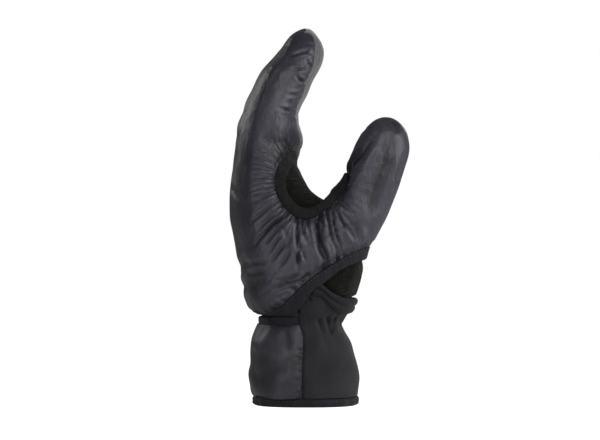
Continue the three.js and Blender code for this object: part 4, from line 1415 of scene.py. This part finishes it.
def pocket_mesh():
    """The nylon pocket over the back half of the cuff."""
    points, faces, normals, depth = cuff_part(POCKET_RING_COUNT, seed=51)
    beside = behind_pocket_seam(points)
    along = points[:, 2] + np.sign(points[:, 1]) * POCKET_SIDE_SHIFT
    depth += gathers(np.maximum(beside, 0), along, SEAM_LINE_LENGTH, *POCKET_GATHERS, seed=52)
    depth += ripples(points, *POCKET_SWELL, seed=53)
    edge = np.minimum(np.minimum(beside, points[:, 2] - CUFF_BOTTOM), POCKET_TOP - points[:, 2])
    puff = POCKET_PUFF * (1 - np.exp(-np.maximum(edge, 0) / POCKET_PUFF_REACH))
    lift = POCKET_LIFT + POCKET_CLOTH + puff
    columns = np.hstack((points + normals * (lift - depth)[:, None], points, normals, depth[:, None]))
    columns, faces = clipped(columns, faces, behind_pocket_seam(columns[:, 3:6]) - SEAM_GAP)
    columns, faces = clipped(columns, faces, POCKET_TOP - columns[:, 5])
    return walled(columns[:, :3], columns[:, 3:6] + columns[:, 6:9] * POCKET_LIFT, faces, columns[:, 9])


def binding_mesh():
    """The folded nylon binding on the pocket's mouth."""
    share, full = rounded_share(BINDING_ROWS)
    rings = glove_rings()
    heights = (BINDING_BOTTOM + (BINDING_TOP - BINDING_BOTTOM) * share).repeat(rings.shape[1], 1)
    top = surface_strip(rings, heights[-1:])[0]
    grid = surface_strip(rings, heights + share * ripples(top, *BINDING_SAG, seed=62))
    normals = grid_normals(grid)
    press = ripples(grid, *BINDING_SWELL, seed=61) * full
    lift = POCKET_LIFT + BINDING_CLOTH - (1 - full) * BINDING_EDGE
    outer = grid + normals * (lift - press)[:, :, None]
    inner = grid + normals * POCKET_LIFT
    return cut_strip(outer, inner, press, lambda points: behind_pocket_seam(points) - SEAM_GAP)


def welt_mesh():
    """The welt over the seam between fleece and softshell, with its two ribs."""
    share = np.linspace(0, 1, WELT_ROWS)[:, None]
    rings = glove_rings()
    grid = surface_strip(rings, crossing_heights(rings, PALM_SEAM) + (share - 0.5) * WELT_WIDTH)
    normals = grid_normals(grid)
    ribs = np.abs(np.sin(2 * math.pi * share)) ** WELT_FULLNESS
    gather = ribbed(*grid_lengths(grid), *WELT_PUCKERS) * ribs
    swell = ripples(grid, *WELT_SWELL, seed=71)
    thick = WELT_GROOVE + ribs * (WELT_THICKNESS - WELT_GROOVE)
    thick[[0, -1]] = WELT_EDGE
    outer = grid + normals * (WELT_LIFT + thick - gather - swell)[:, :, None]
    inner = grid + normals * WELT_LIFT
    # The welt's groove, its edges and its puckers count as pressed, which gives them painted shade.
    return cut_strip(outer, inner, 1 - ribs + gather, lambda points: points[:, 0] - WELT_START_X)


def hem_mesh():
    """The elastic hem round the cuff's mouth. Its inner layer turns up inside the softshell."""
    share, full = rounded_share(BAND_ROWS)
    rings = hem_levels(HEM_TOP * share[:, 0])
    normals = grid_normals(rings)
    relief, crease = elastic_relief(rings, *grid_lengths(rings), full, HEM_SWELL, seed=81)
    outer = rings - normals * relief[:, :, None]
    up = np.array((0.0, 0.0, HEM_LIP))
    lip = rings[-1] - normals[-1] * (GLOVE_WALL + HEM_LIP_GAP)
    inside = rings[-1] - normals[-1] * HEM_WALL
    low = rings[0] - normals[0] * HEM_WALL
    return strip_tube(np.stack((*outer, lip, lip + up)), np.stack((low, inside, inside + up)), crease)


def edge_band_mesh():
    """The elastic of the overmitt's lower edge: rounded edges, ribs and faint waves."""
    share, full = rounded_share(BAND_ROWS)
    rings = mitt_rings()
    bottoms = crossing_heights(rings, SLEEVE_HEM)
    tops = crossing_heights(rings, SLEEVE_EDGE) - SEAM_GAP * 2
    grid = surface_strip(rings, bottoms + (tops - bottoms) * share)
    normals = grid_normals(grid)
    relief, crease = elastic_relief(grid, *grid_lengths(grid), full, BAND_SWELL, seed=82)
    sink = BAND_SINK * flush_at_palm(grid)
    outer = grid - normals * (sink + relief)[:, :, None]
    return strip_tube(outer, grid - normals * (sink + BAND_THICKNESS)[:, :, None], crease)


# Stitches


def stitch_row(line, normals):
    """Short thread stitches on a line of points with normals, each a small bent capsule."""
    steps = np.linalg.norm(np.diff(line, axis=0), axis=1)
    along = np.concatenate(([0], np.cumsum(steps)))
    angles = np.linspace(0, 2 * math.pi, THREAD_SIDES, endpoint=False)[:, None]
    width, rise = THREAD_RADIUS * np.array(STITCH_PROFILE).T
    shapes = []
    for start in np.arange(STITCH_PITCH / 2, along[-1] - STITCH_LENGTH, STITCH_PITCH):
        at = start + np.linspace(0, STITCH_LENGTH, len(STITCH_PROFILE))
        middle, outward = (np.stack([np.interp(at, along, path[:, axis]) for axis in range(3)], axis=1)
                           for path in (line, normals))
        ahead = middle[-1] - middle[0]
        across = np.cross(outward, ahead / np.linalg.norm(ahead))
        middle += outward * rise[:, None]
        circles = across[:, None] * np.sin(angles) + outward[:, None] * np.cos(angles)
        shapes.append(loft(middle[:, None] + circles * width[:, None, None]))
    return shapes


def line_on(rings, heights):
    """A line round a ringed surface, one height a column, with its normals."""
    grid = surface_strip(rings, heights + np.array((-NORMAL_STEP, 0.0, NORMAL_STEP))[:, None])
    return grid[1], grid_normals(grid)[1]


def stitching_mesh():
    """The thread along the upper edges of the overmitt's edge band and of the hem."""
    rings = mitt_rings()
    line, normals = line_on(rings, crossing_heights(rings, SLEEVE_EDGE) - STITCH_INSET)
    line -= normals * (BAND_SINK * flush_at_palm(line) + STITCH_SINK)[:, None]
    shapes = stitch_row(line, normals)
    rings = hem_levels(np.linspace(0, HEM_TOP, HEM_LINE_ROWS))
    line, normals = line_on(rings, np.full(rings.shape[1], HEM_TOP - STITCH_INSET))
    shapes += stitch_row(line - normals * STITCH_SINK, normals)
    points, faces = joined(shapes)
    return points, faces, np.zeros(len(points))


# Shader nodes


def place(tree, kind, inputs=None, **settings):
    """Adds a node with its settings, and sets or joins its inputs by name or number."""
    node = tree.nodes.new(kind)
    for name, value in settings.items():
        setattr(node, name, value)
    for name, value in (inputs or {}).items():
        if isinstance(value, bpy.types.NodeSocket):
            tree.links.new(value, node.inputs[name])
        else:
            node.inputs[name].default_value = value
    return node


def calculated(tree, operation, *values):
    return place(tree, "ShaderNodeMath", dict(enumerate(values)), operation=operation).outputs[0]


def mixed(tree, share, first, second):
    """A colour between two colours."""
    node = place(tree, "ShaderNodeMix", {0: share, 6: first, 7: second}, data_type="RGBA")
    return node.outputs[2]


def ranged(tree, value, low, high, to_low, to_high):
    inputs = {"Value": value, "From Min": low, "From Max": high, "To Min": to_low, "To Max": to_high}
    return place(tree, "ShaderNodeMapRange", inputs).outputs["Result"]


def vector_math(tree, operation, inputs):
    return place(tree, "ShaderNodeVectorMath", inputs, operation=operation).outputs[0]


def object_place(tree):
    """A point's place in its piece's own space."""
    return place(tree, "ShaderNodeTexCoord").outputs["Object"]


def noise_of(tree, vector, scale, detail):
    return place(tree, "ShaderNodeTexNoise", {"Vector": vector, "Scale": scale, "Detail": detail}).outputs


def noise_creases(tree, noise):
    """Sharp lines where a noise crosses its middle."""
    away = calculated(tree, "ABSOLUTE", calculated(tree, "SUBTRACT", noise, 0.5))
    return calculated(tree, "POWER", away, CREASE_SHARPNESS)


def new_group(name, inputs, outputs):
    """An empty node group. Inputs are a name, a socket type and a default, outputs a name and a type."""
    tree = bpy.data.node_groups.new(name, "ShaderNodeTree")
    for label, kind, default in inputs:
        tree.interface.new_socket(label, in_out="INPUT", socket_type=kind).default_value = default
    for label, kind in outputs:
        tree.interface.new_socket(label, in_out="OUTPUT", socket_type=kind)
    return tree, tree.nodes.new("NodeGroupInput").outputs, tree.nodes.new("NodeGroupOutput").inputs


@cache
def weave_group():
    """A plain weave of fine threads, in the object's own space."""
    inputs = [("Thread Size", "NodeSocketFloat", 0.0006)]
    tree, given, made = new_group("Fine weave", inputs, [("Height", "NodeSocketFloat")])
    turn = calculated(tree, "DIVIDE", math.pi, given["Thread Size"])
    scaled = vector_math(tree, "SCALE", {0: object_place(tree), "Scale": turn})
    parts = place(tree, "ShaderNodeSeparateXYZ", {0: scaled}).outputs
    waves = [calculated(tree, "SINE", part) for part in parts]
    crossings = [calculated(tree, "MULTIPLY", waves[i], waves[(i + 1) % 3]) for i in range(3)]
    total = calculated(tree, "ADD", calculated(tree, "ADD", crossings[0], crossings[1]), crossings[2])
    tree.links.new(total, made["Height"])
    return tree


@cache
def crinkle_group():
    """Small sharp crinkles of thin cloth over a soft pad."""
    inputs = [("Scale", "NodeSocketFloat", 60.0), ("Stretch", "NodeSocketVector", (1, 1, 1))]
    tree, given, made = new_group("Crinkles", inputs, [("Height", "NodeSocketFloat")])
    stretched = vector_math(tree, "MULTIPLY", {0: object_place(tree), 1: given["Stretch"]})
    bend = noise_of(tree, stretched, given["Scale"], 1.0)["Color"]
    bent = vector_math(tree, "SCALE", {0: bend, "Scale": CRINKLE_BEND})
    moved = vector_math(tree, "ADD", {0: stretched, 1: bent})
    creases = noise_creases(tree, noise_of(tree, moved, given["Scale"], 3.0)["Fac"])
    tree.links.new(calculated(tree, "MULTIPLY", creases, -1.0), made["Height"])
    return tree


@cache
def lint_group():
    """Fine specks of lint and dust, and the dye's faint clouds."""
    inputs = [("Speck Scale", "NodeSocketFloat", 900.0), ("Speck Share", "NodeSocketFloat", 0.3),
              ("Cloud Scale", "NodeSocketFloat", 25.0)]
    outputs = [("Specks", "NodeSocketFloat"), ("Clouds", "NodeSocketFloat")]
    tree, given, made = new_group("Lint and dye", inputs, outputs)
    position = object_place(tree)
    grain = noise_of(tree, position, given["Speck Scale"], 2.0)["Fac"]
    edge = calculated(tree, "SUBTRACT", 0.75, calculated(tree, "MULTIPLY", given["Speck Share"], 0.25))
    tree.links.new(ranged(tree, grain, edge, 0.8, 0.0, 1.0), made["Specks"])
    tree.links.new(noise_of(tree, position, given["Cloud Scale"], 3.0)["Fac"], made["Clouds"])
    return tree


@cache
def fold_group():
    """Masks of the folds: hollows that get painted shade, and raised ridges that are made lighter."""
    inputs = [("Pressed", "NodeSocketFloat", 0.0), ("Reach", "NodeSocketFloat", 2.0)]
    outputs = [("Hollows", "NodeSocketFloat"), ("Ridges", "NodeSocketFloat")]
    tree, given, made = new_group("Fold wear", inputs, outputs)
    deep = calculated(tree, "DIVIDE", given["Pressed"], given["Reach"])
    tree.links.new(ranged(tree, deep, *HOLLOW_DEPTHS, 0.0, 1.0), made["Hollows"])
    tree.links.new(ranged(tree, deep, *RIDGE_DEPTHS, 0.0, 1.0), made["Ridges"])
    return tree


@cache
def streak_group():
    """Fine streaks that run out from an elastic edge and fade."""
    inputs = [("Edge Place", "NodeSocketVector", (0, 0, 0)), ("Edge Distance", "NodeSocketFloat", 1.0),
              ("Scale", "NodeSocketFloat", 420.0), ("Reach", "NodeSocketFloat", 0.014)]
    tree, given, made = new_group("Edge streaks", inputs, [("Height", "NodeSocketFloat")])
    run = vector_math(tree, "SCALE", {0: STREAK_RUN, "Scale": given["Edge Distance"]})
    moved = vector_math(tree, "ADD", {0: given["Edge Place"], 1: run})
    creases = noise_creases(tree, noise_of(tree, moved, given["Scale"], 1.5)["Fac"])
    far = calculated(tree, "DIVIDE", given["Edge Distance"], given["Reach"])
    falling = calculated(tree, "MULTIPLY", calculated(tree, "MULTIPLY", far, far), -1.0)
    faded = calculated(tree, "MULTIPLY", creases, calculated(tree, "EXPONENT", falling))
    tree.links.new(calculated(tree, "MULTIPLY", faded, -1.0), made["Height"])
    return tree


def grouped(tree, group, **inputs):
    """A node group's outputs. An underscore stands for the space in an input's name."""
    named = {name.replace("_", " "): value for name, value in inputs.items()}
    return place(tree, "ShaderNodeGroup", named, node_tree=group).outputs


def attribute(tree, name):
    """A mark that the mesh carries at its points."""
    return place(tree, "ShaderNodeAttribute", attribute_name=name).outputs


def shade(color, factor):
    """A darker or lighter tone of a colour."""
    return (*(min(channel * factor, 1.0) for channel in color), 1.0)


def cloth_material(name, color, finish):
    """A woven or knitted finish: dye clouds, lint, weave, crinkles, and by the folds' depth painted shade in
    hollows and lighter raised ridges.
    """
    material = bpy.data.materials.new(name)
    material.use_nodes = True
    tree = material.node_tree
    principled = tree.nodes["Principled BSDF"].inputs
    folds = grouped(tree, fold_group(), Pressed=attribute(tree, "pressed")["Fac"], Reach=finish["fold_reach"])
    lint = grouped(tree, lint_group(), Speck_Scale=finish["speck_scale"], Speck_Share=finish["speck_share"])
    weave = grouped(tree, weave_group(), Thread_Size=finish["thread"])
    crinkle = grouped(tree, crinkle_group(), Scale=finish["crinkle_scale"], Stretch=finish["crinkle_stretch"])
    dyed = mixed(tree, lint["Clouds"], *(shade(color, tone) for tone in CLOUD_TONES))
    # Painted shade darkens the hollows by the folds' depth; raised ridges and lint specks are made lighter.
    for effect, mask in (("raised_ridges", folds["Ridges"]), ("hollow_shade", folds["Hollows"]), ("lint", lint["Specks"])):
        share = calculated(tree, "MULTIPLY", mask, finish[effect])
        dyed = mixed(tree, share, dyed, shade(color, TONES[effect]))
    tree.links.new(dyed, principled["Base Color"])
    least, most = finish["roughness"] - ROUGHNESS_SPREAD, finish["roughness"] + ROUGHNESS_SPREAD
    tree.links.new(ranged(tree, lint["Clouds"], *ROUGHNESS_CLOUDS, least, most), principled["Roughness"])
    crinkles = calculated(tree, "MULTIPLY", crinkle["Height"], finish["crinkle"])
    threads = calculated(tree, "MULTIPLY", weave["Height"], finish["weave"])
    height = calculated(tree, "ADD", crinkles, threads)
    if finish["streaks"]:
        edge, away = attribute(tree, "edge_place")["Vector"], attribute(tree, "edge_distance")["Fac"]
        streaks = grouped(tree, streak_group(), Edge_Place=edge, Edge_Distance=away)["Height"]
        height = calculated(tree, "ADD", height, calculated(tree, "MULTIPLY", streaks, finish["streaks"]))
    bump = place(tree, "ShaderNodeBump", {"Height": height, "Distance": BUMP_DISTANCE, "Strength": 1.0})
    tree.links.new(bump.outputs["Normal"], principled["Normal"])
    principled["Sheen Weight"].default_value = finish["sheen"]
    principled["Sheen Roughness"].default_value = SHEEN_ROUGHNESS
    principled["Specular IOR Level"].default_value = finish["specular"]
    return material


NYLON = {
    "roughness": 0.38, "specular": 0.66, "sheen": 0.04, "thread": 0.0005, "weave": 0.012,
    "crinkle": 1.3, "crinkle_scale": 62.0, "crinkle_stretch": (1.0, 1.0, 0.55), "streaks": 2.6,
    "fold_reach": 2.0, "raised_ridges": 0.5, "hollow_shade": 0.75, "lint": 0.1, "speck_scale": 900.0, "speck_share": 0.2,
}
PALM_NYLON = {**NYLON, "roughness": 0.5, "specular": 0.5, "crinkle": 1.6, "sheen": 0.4}
POCKET_NYLON = {**NYLON, "roughness": 0.46, "specular": 0.5, "crinkle": 0.8, "streaks": 0}
ELASTIC = {
    "roughness": 0.72, "specular": 0.3, "sheen": 0.08, "thread": 0.0008, "weave": 0.08,
    "crinkle": 0.25, "crinkle_scale": 160.0, "crinkle_stretch": (1.0, 1.0, 1.0), "streaks": 0,
    "fold_reach": 0.8, "raised_ridges": 0.4, "hollow_shade": 0.5, "lint": 0.25, "speck_scale": 1100.0, "speck_share": 0.3,
}
FLEECE = {
    "roughness": 0.92, "specular": 0.12, "sheen": 0.14, "thread": 0.0012, "weave": 0.06,
    "crinkle": 1.6, "crinkle_scale": 260.0, "crinkle_stretch": (0.35, 0.35, 1.6), "streaks": 0,
    "fold_reach": 1.6, "raised_ridges": 0.3, "hollow_shade": 0.5, "lint": 0.3, "speck_scale": 700.0, "speck_share": 0.4,
}
SOFTSHELL = {
    "roughness": 0.74, "specular": 0.3, "sheen": 0.12, "thread": 0.0007, "weave": 0.05,
    "crinkle": 0.5, "crinkle_scale": 75.0, "crinkle_stretch": (1.0, 1.0, 0.5), "streaks": 0,
    "fold_reach": 1.5, "raised_ridges": 0.25, "hollow_shade": 0.8, "lint": 0.2, "speck_scale": 900.0, "speck_share": 0.3,
}


# Pieces


def add_marks(mesh, name, kind, values):
    """Puts values on a mesh's points, under the name that its material reads."""
    field = "vector" if kind == "FLOAT_VECTOR" else "value"
    mesh.attributes.new(name, kind, "POINT").data.foreach_set(field, np.ascontiguousarray(values).ravel())


def new_piece(name, mesh_columns, material, nodes=()):
    """A finished piece that rides on the glove's body.

    It takes points, faces, and marks: how deep each point is pressed, which its material turns into
    painted shade in hollows, and for gathered cloth also the nearest place on an elastic edge and the
    distance to it, in millimetres.
    """
    points, faces, marks = mesh_columns
    marks = np.asarray(marks, np.float32).reshape(len(points), -1)
    mesh = bpy.data.meshes.new(name)
    mesh.from_pydata((points * MM).tolist(), [], face_rows(faces))
    add_marks(mesh, "pressed", "FLOAT", marks[:, 0])
    if marks.shape[1] > 1:
        add_marks(mesh, "edge_place", "FLOAT_VECTOR", marks[:, 1:4] * MM)
        add_marks(mesh, "edge_distance", "FLOAT", marks[:, 4] * MM)
    mesh.polygons.foreach_set("use_smooth", np.ones(len(mesh.polygons), bool))
    mesh.set_sharp_from_angle(angle=math.radians(SHARP_ANGLE))
    mesh.materials.append(material)
    piece = bpy.data.objects.new(name, mesh)
    bpy.context.scene.collection.objects.link(piece)
    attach(piece, BODY)
    if nodes:
        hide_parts(*nodes)
    return piece


# Settings


def color_property(name, description, default):
    return FloatVectorProperty(name=name, description=description, default=default,
                               size=3, min=0, max=1, subtype="COLOR")


def fill_property(name, description, default):
    return FloatProperty(name=name, description=description, default=default, min=0, max=1, subtype="FACTOR")


def power_property(name, description, default):
    return FloatProperty(name=name, description=description, default=default, min=0, subtype="POWER")


class GloveSettings(bpy.types.PropertyGroup):
    """Colours that a user would change, and two fills that nothing reads."""

    nylon_color: color_property("Overmitt nylon", "Colour of the overmitt's shell", (0.037, 0.0355, 0.049))
    # Lighter than the shell's nylon: partly the panel's own lighter grey, partly painted light where the
    # finger's palm side catches the light from the right.
    palm_color: color_property("Finger panel", "Colour of the palm-side finger panel", (0.1, 0.099, 0.108))
    pocket_color: color_property("Pocket nylon", "Colour of the cuff pocket", (0.036, 0.035, 0.045))
    elastic_color: color_property("Elastic", "Colour of the edge band, the binding and the hem",
                                  (0.0165, 0.0155, 0.0215))
    grip_color: color_property("Grip elastic", "Colour of the grip opening's band", (0.0075, 0.0072, 0.0085))
    fleece_color: color_property("Fleece", "Colour of the fleece hand", (0.0085, 0.0088, 0.0062))
    softshell_color: color_property("Softshell", "Colour of the wrist", (0.0213, 0.0201, 0.0252))
    # The softshell's colour darkened to 0.6: painted shade for the welt's seat under the fleece's edge.
    welt_shaded_color: color_property("Welt", "Colour of the welt above the wrist", (0.0128, 0.0121, 0.0152))
    thread_color: color_property("Thread", "Colour of the stitches", (0.05, 0.048, 0.055))
    mitt_fill: fill_property("Overmitt fill", "How full the overmitt's padding is", 0.6)
    pocket_fill: fill_property("Pocket fill", "How full the cuff pocket is", 0.3)


class StageSettings(bpy.types.PropertyGroup):
    """The plain studio round the glove."""

    floor_drop: FloatProperty(name="Floor depth", description="How far the floor lies under the hem",
                              default=0.06, min=0, unit="LENGTH")
    key_power: power_property("Key light", "Watts of the large soft light on the palm's side", 14.2)
    rim_power: power_property("Rim light", "Watts of the light behind the back of the hand", 0.85)
    back_power: power_property("Back light", "Watts of the light behind the glove", 2.5)
    ceiling_power: power_property("Ceiling light", "Watts of the light high on the left", 0.9)
    fill_power: power_property("Fill light", "Watts of the fill light in front", 4.6)
    bounce_power: power_property("Bounce light", "Watts of the low light that a table throws back", 0.7)


# Operators


class GLOVE_OT_overmitt(bpy.types.Operator):
    """Builds the overmitt's padded shell and its palm-side finger panel"""

    bl_idname = "glove.overmitt"
    bl_label = "Overmitt"

    def execute(self, context):
        settings = context.scene.glove
        nylon = cloth_material("overmitt nylon", settings.nylon_color, NYLON)
        # The panel's lighter colour is partly painted light.
        palm = cloth_material("finger panel nylon", settings.palm_color, PALM_NYLON)
        shell = new_piece("OvermittShell", mitt_part(False), nylon, ["overmitt_shell"])
        panel = new_piece("FingerPanel", mitt_part(True), palm, ["overmitt_finger_panel"])
        return {"FINISHED"}


class GLOVE_OT_elastics(bpy.types.Operator):
    """Builds the elastic bands of the grip opening, the lower edge and the hem, with their thread"""

    bl_idname = "glove.elastics"
    bl_label = "Elastic bands"

    def execute(self, context):
        settings = context.scene.glove
        grip = cloth_material("grip elastic", settings.grip_color, ELASTIC)
        new_piece("GripBand", grip_band_mesh(), grip, ["grip_opening_band"])
        elastic = cloth_material("edge elastic", settings.elastic_color, ELASTIC)
        new_piece("EdgeBand", edge_band_mesh(), elastic, ["overmitt_edge_band"])
        new_piece("HemBand", hem_mesh(), elastic, ["hem_band"])
        thread = cloth_material("thread", settings.thread_color, ELASTIC)
        new_piece("Stitching", stitching_mesh(), thread)
        return {"FINISHED"}


class GLOVE_OT_fleece_hand(bpy.types.Operator):
    """Builds the fleece hand with its stalls, under the overmitt"""

    bl_idname = "glove.fleece_hand"
    bl_label = "Fleece hand"

    def execute(self, context):
        fleece = cloth_material("fleece", context.scene.glove.fleece_color, FLEECE)
        nodes = ["glove_hand", "finger_stalls", "thumb_stall"]
        new_piece("FleeceHand", fleece_mesh(), fleece, nodes)
        return {"FINISHED"}


class GLOVE_OT_wrist(bpy.types.Operator):
    """Builds the softshell wrist and the welt above it"""

    bl_idname = "glove.wrist"
    bl_label = "Wrist and welt"

    def execute(self, context):
        settings = context.scene.glove
        softshell = cloth_material("softshell", settings.softshell_color, SOFTSHELL)
        new_piece("WristSleeve", sleeve_mesh(), softshell, ["wrist_sleeve"])
        # The welt's darker softshell colour is painted shade.
        welt = cloth_material("welt softshell", settings.welt_shaded_color, SOFTSHELL)
        new_piece("PalmWelt", welt_mesh(), welt, ["palm_welt"])
        return {"FINISHED"}


class GLOVE_OT_pocket(bpy.types.Operator):
    """Builds the nylon pocket on the back half of the cuff, with its binding"""

    bl_idname = "glove.pocket"
    bl_label = "Cuff pocket"

    def execute(self, context):
        settings = context.scene.glove
        nylon = cloth_material("pocket nylon", settings.pocket_color, POCKET_NYLON)
        pocket = new_piece("CuffPocket", pocket_mesh(), nylon, ["cuff_pocket_panel"])
        elastic = cloth_material("binding elastic", settings.elastic_color, ELASTIC)
        new_piece("PocketBinding", binding_mesh(), elastic, ["pocket_band"])
        return {"FINISHED"}


class GLOVE_OT_stage(bpy.types.Operator):
    """Sets the pale floor, the white studio round it, the soft lights and the camera"""

    bl_idname = "glove.stage"
    bl_label = "Stage"

    def execute(self, context):
        scene = context.scene
        settings = scene.glove_stage
        scene.view_settings.view_transform = "Standard"
        scene.world = self.new_world()
        self.add_floor(settings.floor_drop)
        for name, spot, size in LIGHTS:
            self.add_softbox(name, spot, size, getattr(settings, name + "_power"))
        scene.camera = self.new_camera(scene)
        return {"FINISHED"}

    def new_world(self):
        """A studio that is white to the camera and dim to the glove."""
        world = bpy.data.worlds.new("studio")
        world.use_nodes = True
        tree = world.node_tree
        background = tree.nodes["Background"].inputs
        background["Color"].default_value = (1, 1, 1, 1)
        seen = place(tree, "ShaderNodeLightPath").outputs["Is Camera Ray"]
        tree.links.new(ranged(tree, seen, 0.0, 1.0, WORLD_STRENGTH, 1.0), background["Strength"])
        return world

    def new_camera(self, scene):
        """The photograph's camera, level and square to the glove's side."""
        camera = bpy.data.objects.new("camera", bpy.data.cameras.new("camera"))
        scene.collection.objects.link(camera)
        camera.location = (CAMERA_X * MM, -CAMERA_DISTANCE * MM, CAMERA_Z * MM)
        camera.rotation_euler = (math.pi / 2, 0, 0)
        camera.data.sensor_width = SENSOR_WIDTH
        camera.data.lens = SENSOR_WIDTH * CAMERA_DISTANCE / PHOTO_WIDTH
        return camera

    def add_floor(self, drop):
        """A round pale floor that brightens outwards into the white of the studio."""
        radii = np.maximum(np.linspace(0, 1, FLOOR_RINGS) ** FLOOR_CROWDING * FLOOR_RADIUS, MM)[:, None]
        angles = np.linspace(0, 2 * math.pi, FLOOR_POINTS, endpoint=False)
        x, y = radii * np.cos(angles), radii * np.sin(angles)
        rings = np.stack((x, y, np.full_like(x, -drop)), axis=-1)
        points, faces = loft(rings, closed_ends=False)
        mesh = bpy.data.meshes.new("floor")
        mesh.from_pydata(points.tolist(), [], face_rows(faces))
        mesh.flip_normals()
        paper = bpy.data.materials.new("white paper")
        paper.use_nodes = True
        tree = paper.node_tree
        principled = tree.nodes["Principled BSDF"]
        principled.inputs["Base Color"].default_value = (0.8, 0.8, 0.8, 1)
        principled.inputs["Roughness"].default_value = 0.9
        principled.inputs["Emission Color"].default_value = (1, 1, 1, 1)
        position = place(tree, "ShaderNodeTexCoord").outputs["Object"]
        away = place(tree, "ShaderNodeVectorMath", {0: position}, operation="LENGTH").outputs["Value"]
        glow = ranged(tree, away, FLOOR_DIM_TO, FLOOR_WHITE_FROM, FLOOR_GLOW, 1.0)
        seen = place(tree, "ShaderNodeLightPath").outputs["Is Camera Ray"]
        tree.links.new(calculated(tree, "MULTIPLY", seen, glow), principled.inputs["Emission Strength"])
        mesh.materials.append(paper)
        floor = bpy.data.objects.new("Floor", mesh)
        bpy.context.scene.collection.objects.link(floor)

    def add_softbox(self, name, spot, size, power):
        light = bpy.data.lights.new(name, "AREA")
        light.shape = "RECTANGLE"
        light.size, light.size_y = size
        light.energy = power
        softbox = bpy.data.objects.new(name, light)
        softbox.location = spot
        aim = Vector(LIGHT_AIM) - Vector(spot)
        softbox.rotation_euler = aim.to_track_quat("-Z", "Y").to_euler()
        bpy.context.scene.collection.objects.link(softbox)


class GLOVE_PT_panel(bpy.types.Panel):
    """Lists the glove's settings and pieces"""

    bl_label = "Glove"
    bl_idname = "GLOVE_PT_panel"
    bl_space_type = "VIEW_3D"
    bl_region_type = "UI"
    bl_category = "Glove"

    def draw(self, context):
        for settings in (context.scene.glove, context.scene.glove_stage):
            column = self.layout.column()
            for name in settings.__annotations__:
                column.prop(settings, name)
        for operator in OPERATORS:
            self.layout.operator(operator.bl_idname)


OPERATORS = (GLOVE_OT_overmitt, GLOVE_OT_elastics, GLOVE_OT_fleece_hand, GLOVE_OT_wrist, GLOVE_OT_pocket,
             GLOVE_OT_stage)
CLASSES = (GloveSettings, StageSettings, *OPERATORS, GLOVE_PT_panel)


def register():
    for item in CLASSES:
        bpy.utils.register_class(item)
    bpy.types.Scene.glove = PointerProperty(type=GloveSettings)
    bpy.types.Scene.glove_stage = PointerProperty(type=StageSettings)


def unregister():
    del bpy.types.Scene.glove
    del bpy.types.Scene.glove_stage
    for item in reversed(CLASSES):
        bpy.utils.unregister_class(item)


def main():
    register()
    bpy.ops.glove.overmitt()
    bpy.ops.glove.elastics()
    bpy.ops.glove.fleece_hand()
    bpy.ops.glove.wrist()
    bpy.ops.glove.pocket()
    bpy.ops.glove.stage()


if __name__ == "__main__":
    main()
